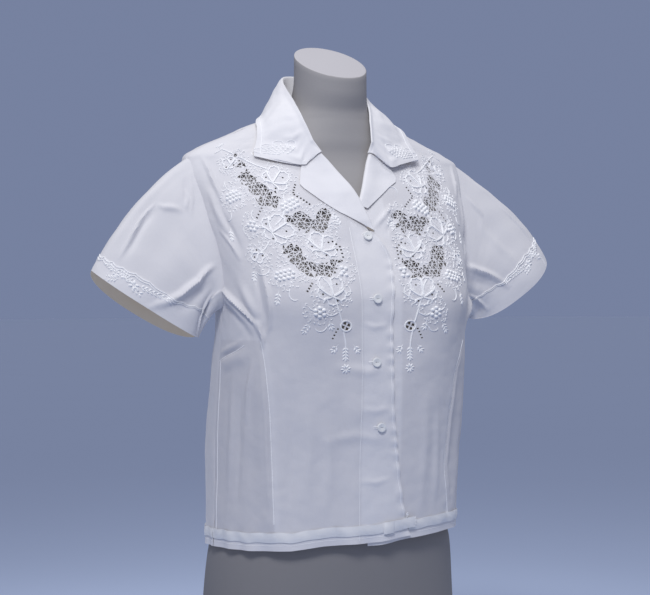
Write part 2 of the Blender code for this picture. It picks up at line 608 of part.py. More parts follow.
def panel_with_points(name, outline, extra, lift, thickness, material, collection):
    # A small piece with a row of chosen points beside one edge
    points = [Vector(p) for p in outline] + extra
    edges = [(i, (i + 1) % len(outline)) for i in range(len(outline))]
    flat = np.asarray([tuple(p) for p in outline])
    low, high = flat.min(axis=0), flat.max(axis=0)
    step_round, step_up = LAPEL_STEPS
    lattice = np.asarray([(low[0] + (i + 0.5 * (j % 2)) * step_round, low[1] + j * step_up)
                          for j in range(int((high[1] - low[1]) / step_up) + 1)
                          for i in range(int((high[0] - low[0]) / step_round) + 1)])
    chosen = np.asarray([tuple(p) for p in points])
    away = np.min(np.linalg.norm(lattice[:, None] - chosen[None], axis=2), axis=1)
    keep = inside_loop(lattice, outline) & clear_of(lattice, outline, 0.004) & (away > 0.005)
    points += [Vector(p) for p in lattice[keep]]
    verts, _, faces, _, _, _ = delaunay_2d_cdt(points, edges, [], 0, 1e-6)
    verts = np.asarray([tuple(p) for p in verts])
    faces = np.asarray([tuple(f) for f in faces])
    faces = faces[inside_loop(verts[faces].mean(axis=1), outline)]
    around, run = verts[:, 0], verts[:, 1]
    made = new_object(name, body_points(around, run, lift(around, run)), faces, material, collection)
    middle = faces[len(faces) // 2]
    normal = outward(BODY_RINGS, around[middle].mean(keepdims=True), run[middle].mean(keepdims=True))[0]
    if Vector(normal).dot(made.data.polygons[len(faces) // 2].normal) < 0:
        made.data.flip_normals()
    return thicken(made, thickness)


def resting(points, clearance):
    # Moves points out to at least this height above the body's inner face
    around, run = np.meshgrid(np.linspace(0, 4 * SIDE, 260), np.linspace(0.60, 0.79, 80))
    around, run = around.ravel(), run.ravel()
    surface = body_points(around, run)
    normal = outward(BODY_RINGS, around, run)
    moved = []
    for point in np.asarray(points):
        nearest = np.argmin(np.sum((surface - point) ** 2, axis=1))
        height = float((point - surface[nearest]) @ normal[nearest])
        moved.append(point + normal[nearest] * max(0.0, clearance - height))
    return moved


def build_collar(collection, material):
    # One strip from the neck seam up the stand, over the fold and down to the outer edge
    half = COLLAR_STATIONS
    mirrored = half[:0:-1].copy()
    mirrored[:, 0] = 4 * SIDE - mirrored[:, 0]
    mirrored[:, 5] = 4 * SIDE - mirrored[:, 5]
    mirrored[:, 2] *= -1
    stations = np.vstack([mirrored, half])
    table = np.column_stack([np.arange(len(stations)), stations])
    last = len(stations) - 1
    spread = last / 2 * (np.arange(COLLAR_COLUMNS + 1) / COLLAR_COLUMNS) ** 0.7
    at = np.concatenate([last / 2 - spread[:0:-1], last / 2 + spread])
    _, seam_round, seam_run, roll_x, roll_y, roll_z, edge_round, edge_run = through_rows(table, at).T
    edge_round = edge_round - COLLAR_SKEW * np.clip(1 - np.minimum(at, at[-1] - at) / 2.5, 0, 1)
    for i, place in enumerate(at):
        side = 1 if place > last / 2 else -1
        skew = ROLL_SKEW_LEFT if side > 0 else ROLL_SKEW_RIGHT
        near_end = np.clip(1.5 - 0.5 * min(place, last - place), 0, 1)
        roll_x[i] += skew[0] * near_end
        roll_y[i] += skew[1] * near_end
        beyond = abs(place - last / 2) - NECK_STATION
        if beyond > 0:
            seam_run[i] = max(NECK_TOP_RUN - beyond * NECK_RUN_STEP, NECK_LOW_RUN)
            neck = NECK_LEFT if side > 0 else NECK_RIGHT
            neck_x = float(between([(r, x) for x, r in neck], seam_run[i]))
            seam_round[i] = round_at(neck_x - side * NECK_INSET, seam_run[i])
            seam_round[i] = seam_round[i] if side > 0 else 4 * SIDE + seam_round[i]
    seam = body_points(seam_round, seam_run, 0.0002)
    toward = np.column_stack([roll_x, roll_y, roll_z])
    edge = body_points(edge_round, edge_run, LAYER)
    body_out = outward(BODY_RINGS, edge_round, edge_run)
    columns = []
    for i, place in enumerate(at):
        near_end = max(0.0, 1 - min(place, last - place) / 1.2)
        left = place > last / 2
        start, roll, end = Vector(seam[i]), Vector(toward[i]), Vector(edge[i])
        start.z += STAND_START
        out = (end - roll)
        out.z = 0.0
        out.normalize()
        fold = roll + out * FOLD_RADIUS
        top = roll + Vector((0, 0, FOLD_RADIUS * 0.8)) + out * FOLD_RADIUS * 0.5
        column = [start, start.lerp(roll, 0.5), start.lerp(roll, 0.9), top]
        fall_start = fold + out * FOLD_RADIUS * 1.2 - Vector((0, 0, 0.002))
        for share in (0.0, 0.14, 0.28, 0.46, 0.64, 0.82, 1.0):
            point = fall_start.lerp(end, share)
            belly = math.sin(math.pi * share) * 0.003 * (1 - near_end)
            point += Vector(body_out[i]) * belly
            dip = NOTCH_BOW * near_end**1.5 * np.interp(share, [0.0, 0.28, 1.0], [0.0, 1.0, 0.0])
            point += (NOTCH_WAY_LEFT if left else NOTCH_WAY_RIGHT) * dip
            column.append(point)
        column[5:] = resting(column[5:], LAYER + 3 * TRIM_RISE + (OVER_LAPEL * near_end if left else 0.0))
        columns.append(column)
    points, faces = ring_mesh(columns, closed_round=False)
    made = new_object("collar", points, faces, material, collection)
    return thicken(made, CLOTH)


def build_sleeve(side_name, collection, material):
    # A short set-in sleeve, flattened front to back, open at the hem
    side, outer, inner = SLEEVE_HEMS[side_name]
    turns = np.arange(SLEEVE_SIDES) / SLEEVE_SIDES
    armhole = armhole_line(side, SLEEVE_SIDES)[:-1]
    around = np.array([p.x for p in armhole])
    run = np.array([p.y for p in armhole])
    under = (1 - np.cos(2 * math.pi * turns)) / 2
    lift = LAYER + SLEEVE_LIFT + (CLOTH + SEAM_GAP) * under**4
    start = body_points(around, run, lift)
    outer = Vector((side * outer.x, outer.y, outer.z))
    inner = Vector((side * inner.x, inner.y, inner.z))
    centre = np.array((outer + inner) / 2)
    reach = np.array((outer - inner) / 2)
    cosine, sine = np.cos(2 * math.pi * turns), np.sin(2 * math.pi * turns)
    wide = np.sign(cosine) * np.abs(cosine) ** 0.85
    end = centre + wide[:, None] * reach
    end[:, 1] -= SLEEVE_DEPTH * sine
    end[:, 2] -= SLEEVE_DROOP * np.abs(sine)
    length = np.linalg.norm(end - start, axis=1)[:, None]
    top_way = np.array((side * 0.84, -0.04, -0.54))
    under_way = np.array((side * 0.97, 0.0, -0.25))
    hem_way = np.array((side * 0.50, -0.02, -0.86))
    first = (top_way * (1 - under)[:, None] + under_way * under[:, None]) * length
    last = hem_way * length
    rings = []
    for ring in range(SLEEVE_RINGS + 1):
        t = ring / SLEEVE_RINGS
        h0, h1 = (1 + 2 * t) * (1 - t) ** 2, t * (1 - t) ** 2
        h2, h3 = t * t * (3 - 2 * t), t * t * (t - 1)
        rings.append(h0 * start + h1 * first + h2 * end + h3 * last)
    rings = np.asarray(rings)
    across = np.roll(rings, -1, axis=1) - np.roll(rings, 1, axis=1)
    along = np.gradient(rings, axis=0)
    normal = np.cross(across, along) * side
    normal /= np.maximum(np.linalg.norm(normal, axis=2), 1e-9)[..., None]
    for ring in range(1, SLEEVE_RINGS + 1):
        t = ring / SLEEVE_RINGS
        height = np.zeros(SLEEVE_SIDES)
        for a0, t0, a1, t1, width, rise in SLEEVE_FOLDS:
            fold = (a0 * 0.32, t0 * 0.16, a1 * 0.32, t1 * 0.16, width, rise)
            height += ridge(turns * 0.32, np.full(SLEEVE_SIDES, t * 0.16), fold)
        rings[ring] += normal[ring] * (height * min(1.0, t * 3))[:, None]
    points, faces = ring_mesh(list(rings))
    made = new_object("sleeve_" + side_name, points, faces, material, collection)
    middle = made.data.polygons[SLEEVE_SIDES * 4]
    if Vector(normal[4, 0]).dot(middle.normal) < 0:
        made.data.flip_normals()
    return thicken(made, CLOTH)


def strip(name, rounds, low, high, lift, thickness, material, collection):
    # A band laid on the body between two heights read from the hem
    rounds = np.asarray(rounds)
    rings = [body_points(rounds, np.asarray(edge), lift) for edge in (low, high)]
    points, faces = ring_mesh(rings, closed_round=False)
    made = new_object(name, points, faces, material, collection)
    normal = outward(BODY_RINGS, rounds[:1], np.asarray(low)[:1])[0]
    if Vector(normal).dot(made.data.polygons[0].normal) < 0:
        made.data.flip_normals()
    return thicken(made, thickness)


def build_tape(collection):
    # The tape above the hem, its loose end over the left part and the folded tab that holds it
    material = cloth_material("tape_white", (0.86, 0.86, 0.89), 0.6)
    tab = [round_at(x, TAPE_LEVEL) for x in TAB_X]
    loose_end = [round_at(x, TAPE_LEVEL) for x in TAPE_END_X]
    over_edge = round_at(RIGHT_EDGE[1][1], TAPE_LEVEL)
    seam = SEAM_GAP / 2
    top_lift = OVERLAP_RISE + LAYER + TRIM_RISE
    parts = [
        ("tape_right", HEM_RIGHT, np.linspace(-SIDE + seam, tab[0] - SEAM_GAP, 22), True),
        ("tape_left", HEM_LEFT, np.linspace(over_edge + 0.0012, SIDE - seam, 15), False),
        ("tape_back", HEM_BACK, np.linspace(SIDE + seam, 3 * SIDE - seam, 32), False),
    ]
    for name, hem, rounds, over_right in parts:
        low = between(hem, rounds) + TAPE_LOW
        lift = np.full_like(rounds, LAYER + TRIM_RISE)
        if over_right:
            lift = lift + front_rise(rounds, low)
        strip(name, rounds, low, low + TAPE_WIDTH, lift, TAPE_THICK, material, collection)
    rounds = np.linspace(*loose_end, 6)
    low = between(HEM_RIGHT, rounds) + TAPE_LOW - 0.0005
    strip("tape_end", rounds, low, low + TAPE_WIDTH + 0.0010, top_lift, TAPE_THICK, material, collection)
    rounds = np.linspace(*tab, 5)
    low = between(HEM_RIGHT, rounds) + TAPE_LOW - 0.0015
    bow = top_lift + TAB_BOW * np.sin(np.linspace(0, math.pi, 5))
    strip("tape_tab", rounds, low, low + TAPE_WIDTH + 0.0022, bow, 2 * TAPE_THICK, material, collection)


def build_buttons(collection):
    material = cloth_material("button_pearl", (0.78, 0.79, 0.80), 0.25)
    for number, (x, run) in enumerate(BUTTONS, 1):
        around = np.array([round_at(x, run)])
        level = np.array([run])
        lift = OVERLAP_RISE + LAYER + TRIM_RISE / 2
        place = Vector(body_points(around, level, lift)[0])
        normal = Vector(outward(BODY_RINGS, around, level)[0])
        bpy.ops.mesh.primitive_cylinder_add(vertices=16, radius=BUTTON_RADIUS, depth=BUTTON_THICK)
        button = bpy.context.object
        button.name = f"button_{number}"
        button.data.name = button.name
        button.location = place + normal * BUTTON_THICK / 2
        button.rotation_euler = normal.to_track_quat("Z", "Y").to_euler()
        button.data.materials.append(material)
        rim = button.modifiers.new("Rim", "BEVEL")
        rim.width = 0.0006
        rim.segments = 1
        rim.limit_method = "ANGLE"
        for holder in list(button.users_collection):
            holder.objects.unlink(button)
        collection.objects.link(button)


def main():
    for old in list(bpy.data.objects):
        bpy.data.objects.remove(old, do_unlink=True)
    collection = bpy.data.collections.new("blouse_on_dress_form")
    bpy.context.scene.collection.children.link(collection)
    linen = cloth_material("linen_white", (0.84, 0.84, 0.88), 0.85)
    build_form(collection)
    for side in (-1, 1):
        build_front(side, collection, linen)
        build_lapel(side, collection, linen)
    build_back(collection, linen)
    build_collar(collection, linen)
    for side_name in SLEEVE_HEMS:
        build_sleeve(side_name, collection, linen)
    build_tape(collection)
    build_buttons(collection)


main()
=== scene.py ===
import math

import bpy
import numpy as np
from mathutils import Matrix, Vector, noise
from mathutils.geometry import delaunay_2d_cdt


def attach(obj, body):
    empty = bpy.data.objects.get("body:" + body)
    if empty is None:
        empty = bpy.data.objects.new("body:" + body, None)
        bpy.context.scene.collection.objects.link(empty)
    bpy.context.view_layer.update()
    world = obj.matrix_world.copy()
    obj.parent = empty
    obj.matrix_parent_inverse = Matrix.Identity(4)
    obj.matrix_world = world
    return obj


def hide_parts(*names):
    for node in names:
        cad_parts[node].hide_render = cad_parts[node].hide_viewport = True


# a white cutwork blouse on a grey dress form, seen level from the wearer's right
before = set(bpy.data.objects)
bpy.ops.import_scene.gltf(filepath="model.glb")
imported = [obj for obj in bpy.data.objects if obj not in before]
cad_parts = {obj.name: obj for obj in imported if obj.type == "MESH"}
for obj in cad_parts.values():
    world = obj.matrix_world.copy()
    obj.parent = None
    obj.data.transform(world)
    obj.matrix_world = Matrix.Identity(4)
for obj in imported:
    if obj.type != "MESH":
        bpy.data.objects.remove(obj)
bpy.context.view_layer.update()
print("frame loaded:", len(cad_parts), "nodes")

# camera, floor and light
cameraSet = {"place": (-1.2986, -2.4241, 0.479), "turn": -28.0, "lens": 124.8}
cameraTurn = (math.radians(90), 0, math.radians(cameraSet["turn"]))
bpy.ops.object.camera_add(location=cameraSet["place"], rotation=cameraTurn)
camera = bpy.context.object
camera.data.lens = cameraSet["lens"]
camera.data.sensor_width = 36.0
bpy.context.scene.camera = camera
bpy.context.scene.view_settings.view_transform = "Standard"

stageSet = {"floor": (0.54, 0.64, 0.86), "size": 90.0,
            "air": (0.34, 0.35, 0.41), "backdrop": (0.183, 0.222, 0.350)}
lightSet = [  # place, what it faces, size, power, spread in degrees
    ((-1.32, -1.86, 2.7), (0.0, 0.0, 0.56), 0.9, 3.75, 42.0),
    ((0.2, -0.3, 2.9), (0.0, 0.0, 0.60), 0.9, 1.15, 42.0),
]

# the worn blouse as rings up the cloth: run, height, half width, centre y,
# depth before and behind, squareness before and behind
bodyRings = np.array([
    (0.150, 0.150, 0.158, 0.002, 0.117, 0.114, 0.03, 0.03),
    (0.284, 0.284, 0.157, 0.000, 0.117, 0.112, 0.04, 0.03),
    (0.353, 0.353, 0.158, -0.007, 0.114, 0.108, 0.05, 0.03),
    (0.400, 0.400, 0.158, -0.014, 0.108, 0.104, 0.06, 0.03),
    (0.447, 0.447, 0.158, -0.021, 0.098, 0.100, 0.06, 0.02),
    (0.476, 0.476, 0.160, -0.023, 0.095, 0.100, 0.07, 0.02),
    (0.517, 0.517, 0.165, -0.014, 0.093, 0.102, 0.06, 0.04),
    (0.545, 0.545, 0.171, -0.006, 0.090, 0.100, 0.04, 0.05),
    (0.568, 0.568, 0.177, 0.002, 0.089, 0.096, 0.02, 0.04),
    (0.600, 0.600, 0.184, 0.012, 0.084, 0.084, -0.03, 0.00),
    (0.630, 0.628, 0.189, 0.020, 0.075, 0.070, -0.10, -0.03),
    (0.650, 0.645, 0.187, 0.024, 0.071, 0.059, -0.15, -0.05),
    (0.670, 0.656, 0.170, 0.025, 0.068, 0.054, -0.16, -0.05),
    (0.694, 0.666, 0.148, 0.025, 0.066, 0.050, -0.16, -0.05),
    (0.722, 0.677, 0.122, 0.025, 0.064, 0.045, -0.14, -0.04),
    (0.751, 0.688, 0.095, 0.025, 0.062, 0.039, -0.10, -0.03),
    (0.776, 0.697, 0.072, 0.025, 0.060, 0.033, -0.04, 0.00),
    (0.790, 0.702, 0.062, 0.025, 0.059, 0.029, 0.00, 0.00),
])
formLowerRings = np.array([
    (0.000, 0.000, 0.157, 0.008, 0.110, 0.112, 0.04, 0.03),
    (0.060, 0.060, 0.162, 0.008, 0.114, 0.117, 0.04, 0.03),
    (0.116, 0.116, 0.159, 0.008, 0.113, 0.114, 0.03, 0.03),
    (0.182, 0.182, 0.1535, 0.005, 0.110, 0.106, 0.03, 0.03),
    (0.235, 0.235, 0.132, -0.002, 0.094, 0.092, 0.03, 0.03),
    (0.284, 0.284, 0.119, -0.004, 0.086, 0.080, 0.03, 0.03),
    (0.340, 0.340, 0.125, -0.010, 0.088, 0.080, 0.03, 0.03),
    (0.400, 0.400, 0.138, -0.016, 0.090, 0.084, 0.04, 0.03),
    (0.447, 0.447, 0.147, -0.022, 0.084, 0.088, 0.05, 0.03),
    (0.476, 0.476, 0.150, -0.024, 0.084, 0.090, 0.05, 0.03),
    (0.517, 0.517, 0.152, -0.014, 0.083, 0.090, 0.04, 0.03),
    (0.568, 0.568, 0.160, 0.002, 0.080, 0.084, 0.00, 0.02),
    (0.600, 0.600, 0.166, 0.012, 0.076, 0.074, -0.04, -0.01),
    (0.630, 0.628, 0.168, 0.020, 0.071, 0.064, -0.11, -0.04),
    (0.650, 0.643, 0.164, 0.024, 0.069, 0.056, -0.15, -0.05),
    (0.670, 0.655, 0.160, 0.025, 0.067, 0.053, -0.16, -0.05),
])
formNeckRings = np.array([
    (0.800, 0.710, 0.053, 0.014, 0.048, 0.036, 0.00, 0.00),
    (0.812, 0.722, 0.0485, 0.0075, 0.043, 0.041, 0.00, 0.00),
    (0.830, 0.740, 0.0467, 0.0045, 0.0415, 0.0415, 0.00, 0.00),
    (0.854, 0.765, 0.0467, 0.0045, 0.041, 0.041, 0.00, 0.00),
])
formRings = np.vstack([formLowerRings, bodyRings[-5:], formNeckRings])

bustSet = {"rise": 0.013, "middle": 0.082, "halfWide": 0.045, "run": 0.468, "halfHigh": 0.052}
bodySet = {"girthRadius": 0.146, "wall": 0.0005, "under": 0.0007, "layer": 0.00155, "overlap": 0.0025}
sideRound = bodySet["girthRadius"] * math.pi / 2  # side seam, measured round from the centre front
backRound = sideRound * 2

# broad folds: start round, start run, end round, end run, half width, height
bodyFolds = [
    (-0.143, 0.424, -0.120, 0.190, 0.012, 0.0035),
    (0.143, 0.424, 0.120, 0.190, 0.012, 0.0035),
    (-0.214, 0.484, -0.150, 0.440, 0.009, 0.0060),
    (-0.166, 0.490, -0.140, 0.452, 0.007, 0.0045),
    (0.206, 0.488, 0.152, 0.446, 0.009, 0.0055),
    (-0.212, 0.400, -0.160, 0.412, 0.008, 0.0025),
    (0.210, 0.402, 0.160, 0.412, 0.008, 0.0025),
    (-0.178, 0.600, -0.168, 0.560, 0.006, 0.0035),
    (0.180, 0.604, 0.170, 0.562, 0.006, 0.0030),
    (0.330, 0.560, 0.345, 0.300, 0.016, 0.0035),
    (0.590, 0.560, 0.572, 0.310, 0.016, 0.0035),
    (0.400, 0.420, 0.392, 0.200, 0.018, 0.0030),
    (0.520, 0.430, 0.530, 0.200, 0.018, 0.0030),
]
# fine creases, pressed or pulled: half width, height, then the places (round, run) along each
creases = [
    (0.0024, 0.0062, [(-0.222, 0.487), (-0.205, 0.486), (-0.179, 0.473), (-0.160, 0.461), (-0.147, 0.449),
                      (-0.138, 0.432)]),
    (0.0060, -0.0045, [(-0.222, 0.474), (-0.190, 0.463), (-0.166, 0.447), (-0.150, 0.430)]),
    (0.0026, 0.0048, [(-0.146, 0.456), (-0.140, 0.444), (-0.136, 0.430), (-0.137, 0.418)]),
    (0.0028, 0.0040, [(-0.130, 0.520), (-0.127, 0.490), (-0.125, 0.468), (-0.127, 0.446), (-0.134, 0.430)]),
    (0.0040, -0.0028, [(-0.138, 0.515), (-0.137, 0.485), (-0.135, 0.462), (-0.140, 0.450)]),
    (0.0018, -0.0016, [(-0.139, 0.432), (-0.134, 0.403), (-0.131, 0.384), (-0.126, 0.337), (-0.120, 0.215)]),
    (0.0026, 0.0015, [(-0.143, 0.425), (-0.1385, 0.403), (-0.1355, 0.384), (-0.1305, 0.337),
                      (-0.1245, 0.215)]),
    (0.0018, -0.0016, [(0.130, 0.432), (0.112, 0.395), (0.105, 0.350), (0.099, 0.277), (0.108, 0.215)]),
    (0.0026, 0.0015, [(0.134, 0.425), (0.1165, 0.395), (0.1095, 0.350), (0.1035, 0.277), (0.1125, 0.215)]),
    (0.0020, -0.0022, [(-0.229, 0.404), (-0.205, 0.411), (-0.182, 0.417), (-0.166, 0.423)]),
    (0.0030, 0.0020, [(-0.229, 0.412), (-0.205, 0.418), (-0.182, 0.424), (-0.166, 0.430)]),
    (0.0020, -0.0022, [(0.229, 0.404), (0.205, 0.411), (0.182, 0.417), (0.166, 0.423)]),
    (0.0026, 0.0045, [(0.226, 0.486), (0.204, 0.484), (0.178, 0.470), (0.158, 0.452)]),
    (0.0050, -0.0032, [(0.222, 0.474), (0.190, 0.464), (0.168, 0.450)]),
    (0.0034, 0.0030, [(-0.150, 0.410), (-0.158, 0.370), (-0.160, 0.330)]),
    (0.0060, 0.0024, [(-0.190, 0.390), (-0.186, 0.320), (-0.192, 0.240)]),
    (0.0050, -0.0018, [(-0.172, 0.380), (-0.170, 0.310), (-0.176, 0.220)]),
    (0.0060, 0.0024, [(0.150, 0.400), (0.146, 0.320), (0.152, 0.240)]),
    (0.0044, 0.0022, [(0.205, 0.400), (0.196, 0.330), (0.200, 0.220)]),
    (0.0070, 0.0020, [(-0.085, 0.380), (-0.080, 0.300), (-0.088, 0.215)]),
    (0.0060, -0.0016, [(-0.104, 0.400), (-0.100, 0.310), (-0.104, 0.220)]),
    (0.0055, 0.0014, [(-0.062, 0.340), (-0.058, 0.280), (-0.063, 0.215)]),
    (0.0070, 0.0018, [(0.060, 0.380), (0.062, 0.300), (0.055, 0.215)]),
    (0.0050, 0.0016, [(0.078, 0.360), (0.082, 0.290), (0.078, 0.215)]),
    (0.0030, 0.0030, [(-0.190, 0.652), (-0.176, 0.632), (-0.166, 0.606), (-0.160, 0.588)]),
    (0.0030, 0.0024, [(-0.180, 0.560), (-0.164, 0.540), (-0.156, 0.520)]),
    (0.0040, -0.0020, [(-0.172, 0.590), (-0.158, 0.560), (-0.150, 0.530)]),
    (0.0030, 0.0026, [(0.190, 0.650), (0.174, 0.628), (0.162, 0.600)]),
    (0.0030, 0.0024, [(0.182, 0.556), (0.168, 0.536), (0.160, 0.518)]),
    (0.0022, 0.0024, [(0.034, 0.590), (0.022, 0.577), (0.012, 0.567), (0.006, 0.560)]),
    (0.0024, -0.0018, [(0.040, 0.584), (0.028, 0.568), (0.020, 0.553)]),
    (0.0060, 0.0016, [(-0.060, 0.400), (-0.020, 0.392), (0.010, 0.398)]),
    (0.0060, 0.0016, [(-0.070, 0.310), (-0.030, 0.318), (0.008, 0.312)]),
    (0.0040, 0.0012, [(-0.028, 0.350), (-0.008, 0.346), (0.012, 0.350)]),
    (0.0034, 0.0012, [(-0.026, 0.450), (-0.010, 0.444), (0.010, 0.447)]),
    (0.0034, 0.0012, [(-0.026, 0.265), (-0.006, 0.262), (0.016, 0.267)]),
    (0.0060, 0.0018, [(0.270, 0.500), (0.300, 0.470), (0.340, 0.455)]),
    (0.0060, 0.0018, [(0.648, 0.500), (0.618, 0.468), (0.580, 0.452)]),
    (0.0070, 0.0022, [(0.300, 0.640), (0.320, 0.600), (0.318, 0.560)]),
    (0.0070, 0.0022, [(0.618, 0.640), (0.600, 0.600), (0.604, 0.560)]),
    (0.0080, 0.0020, [(0.459, 0.720), (0.455, 0.640), (0.462, 0.560)]),
    (0.0060, 0.0020, [(0.280, 0.380), (0.286, 0.300), (0.278, 0.220)]),
    (0.0060, 0.0020, [(0.640, 0.380), (0.632, 0.300), (0.642, 0.220)]),
    (0.0040, 0.0016, [(0.350, 0.420), (0.380, 0.400), (0.430, 0.404)]),
    (0.0040, 0.0016, [(0.568, 0.430), (0.540, 0.412), (0.500, 0.416)]),
]
unevenness = [(0.0008, 0.030, 3.0), (0.0010, 0.075, 8.0), (0.00030, 0.011, 5.0)]  # height, size, seed
dartFeet = (-0.120, 0.108)


def readRows(table, at):
    # smooth reading of every column against the first, never overshooting
    runs = table[:, 0]
    steps = np.diff(runs)[:, None]
    slopes = np.diff(table, axis=0) / steps
    before, after = slopes[:-1], slopes[1:]
    total = np.where(before * after > 0, before + after, 1.0)
    middle = np.where(before * after > 0, 2 * before * after / total, 0.0)
    tangents = np.vstack([slopes[:1], middle, slopes[-1:]])
    at = np.clip(at, runs[0], runs[-1])
    row = np.clip(np.searchsorted(runs, at, side="right") - 1, 0, len(runs) - 2)
    step = steps[row]
    t = (at - runs[row])[:, None] / step
    start = (1 + 2 * t) * (1 - t) ** 2 * table[row] + t * (1 - t) ** 2 * step * tangents[row]
    return start + t * t * (3 - 2 * t) * table[row + 1] + t * t * (t - 1) * step * tangents[row + 1]


def ringPoints(rings, around, run):
    angle = around / bodySet["girthRadius"]
    _, z, half, centre, before, behind, squareFront, squareBack = readRows(rings, run).T
    front = np.cos(angle) > 0
    bulge = 1 + np.where(front, squareFront, squareBack) * np.sin(2 * angle) ** 2
    depth = np.where(front, before, behind)
    return np.stack([half * np.sin(angle) * bulge, centre - depth * np.cos(angle) * bulge, z], axis=1)


def ringNormals(rings, around, run):
    small = 0.0015
    across = ringPoints(rings, around + small, run) - ringPoints(rings, around - small, run)
    up = ringPoints(rings, around, run + small) - ringPoints(rings, around, run - small)
    normal = np.cross(across, up)
    return normal / np.linalg.norm(normal, axis=1)[:, None]


def pathHeight(x, y, path, width, height, flatEnds=0.35):
    # height of one fold that follows a path on the cloth, fading towards its ends
    path = np.asarray(path, float)
    pieces = np.linalg.norm(np.diff(path, axis=0), axis=1)
    before = np.concatenate([[0.0], np.cumsum(pieces)])
    best = np.full(x.shape, 1e9)
    place = np.zeros(x.shape)
    for i in range(len(path) - 1):
        step = path[i + 1] - path[i]
        t = np.clip(((x - path[i, 0]) * step[0] + (y - path[i, 1]) * step[1]) / pieces[i] ** 2, 0, 1)
        away = (x - path[i, 0] - t * step[0]) ** 2 + (y - path[i, 1] - t * step[1]) ** 2
        nearer = away < best
        best = np.where(nearer, away, best)
        place = np.where(nearer, (before[i] + t * pieces[i]) / before[-1], place)
    fade = flatEnds + (1 - flatEnds) * np.sin(math.pi * place)
    return height * fade * np.exp(-best / width**2)


def crumple(x, y, size, seed):
    # gentle unevenness, from -1 to 1
    return np.array([noise.noise(Vector((a / size, b / size, seed))) for a, b in zip(x, y)])


def bustHeight(around, run):
    total = np.zeros(around.shape)
    high = ((run - bustSet["run"]) / bustSet["halfHigh"]) ** 2
    for middle in (-bustSet["middle"], bustSet["middle"]):
        total += bustSet["rise"] * np.exp(-((around - middle) / bustSet["halfWide"]) ** 2 - high)
    return total


def bodyHeight(around, run):
    total = bustHeight(around, run)
    for x0, y0, x1, y1, width, height in bodyFolds:
        total += pathHeight(around, run, [(x0, y0), (x1, y1)], width, height)
    return total


def bodyAt(flat, lift, fine=True):
    # places on the worn cloth for flat places (round, run), moved out by lift
    flat = np.asarray(flat, float)
    around, run = flat[:, 0], flat[:, 1]
    height = bodyHeight(around, run) + lift
    if fine:
        for width, rise, path in creases:
            height = height + pathHeight(around, run, path, width, rise, 0.0)
        for rise, size, seed in unevenness:
            height = height + rise * crumple(around, run, size, seed)
        for foot in dartFeet:
            spread = np.exp(-((around - foot) / 0.016) ** 2 - ((run - 0.235) / 0.030) ** 2)
            height = height + 0.0011 * spread * crumple(around, run, 0.014, 12.0)
        low = np.clip((0.215 - run) / 0.03, 0, 1)
        height = height + low * 0.0017 * np.sin(around * 120 + 1.8 * np.sin(around * 37))
    outwards = ringNormals(bodyRings, around, run)
    return ringPoints(bodyRings, around, run) + outwards * np.reshape(height, (-1, 1))


def roundAt(x, run):
    # distance round at which the ring of this run has the given x
    around = np.linspace(-sideRound, sideRound, 241)
    return float(np.interp(x, ringPoints(bodyRings, around, np.full(241, run))[:, 0], around))


def between(table, at):
    table = np.asarray(table)
    order = np.argsort(table[:, 0])
    return np.interp(at, table[order, 0], table[order, 1])


def spaced(points, step):
    # the same line with a point about every step
    line = [Vector(points[0])]
    for start, end in zip(points[:-1], points[1:]):
        start, end = Vector(start), Vector(end)
        count = max(1, round((end - start).length / step))
        line += [start.lerp(end, (i + 1) / count) for i in range(count)]
    return line


def flatLine(points):
    return [Vector((roundAt(x, run), run)) for x, run in points]


def joined(*lines):
    outline = []
    for line in lines:
        for point in line:
            if not outline or (point - outline[-1]).length > 2e-4:
                outline.append(point)
    if (outline[0] - outline[-1]).length < 2e-4:
        outline.pop()
    return outline


def insideLoop(points, loop):
    loop = np.asarray([tuple(p) for p in loop])
    x0, y0 = loop[:, 0], loop[:, 1]
    x1, y1 = np.roll(x0, -1), np.roll(y0, -1)
    height = np.where(y1 == y0, 1e-12, y1 - y0)
    result = np.zeros(len(points), bool)
    for start in range(0, len(points), 4000):
        x, y = points[start:start + 4000, 0:1], points[start:start + 4000, 1:2]
        crosses = (y0 > y) != (y1 > y)
        reached = x < (x1 - x0) * (y - y0) / height + x0
        result[start:start + 4000] = np.sum(crosses & reached, axis=1) % 2 == 1
    return result


def awayFrom(points, loop):
    # distance of each point from the nearest corner of a close-spaced loop
    loop = np.asarray([tuple(p) for p in loop])
    result = np.zeros(len(points))
    for start in range(0, len(points), 4000):
        part = points[start:start + 4000]
        result[start:start + 4000] = np.sqrt(((part[:, None] - loop[None]) ** 2).sum(axis=2).min(axis=1))
    return result


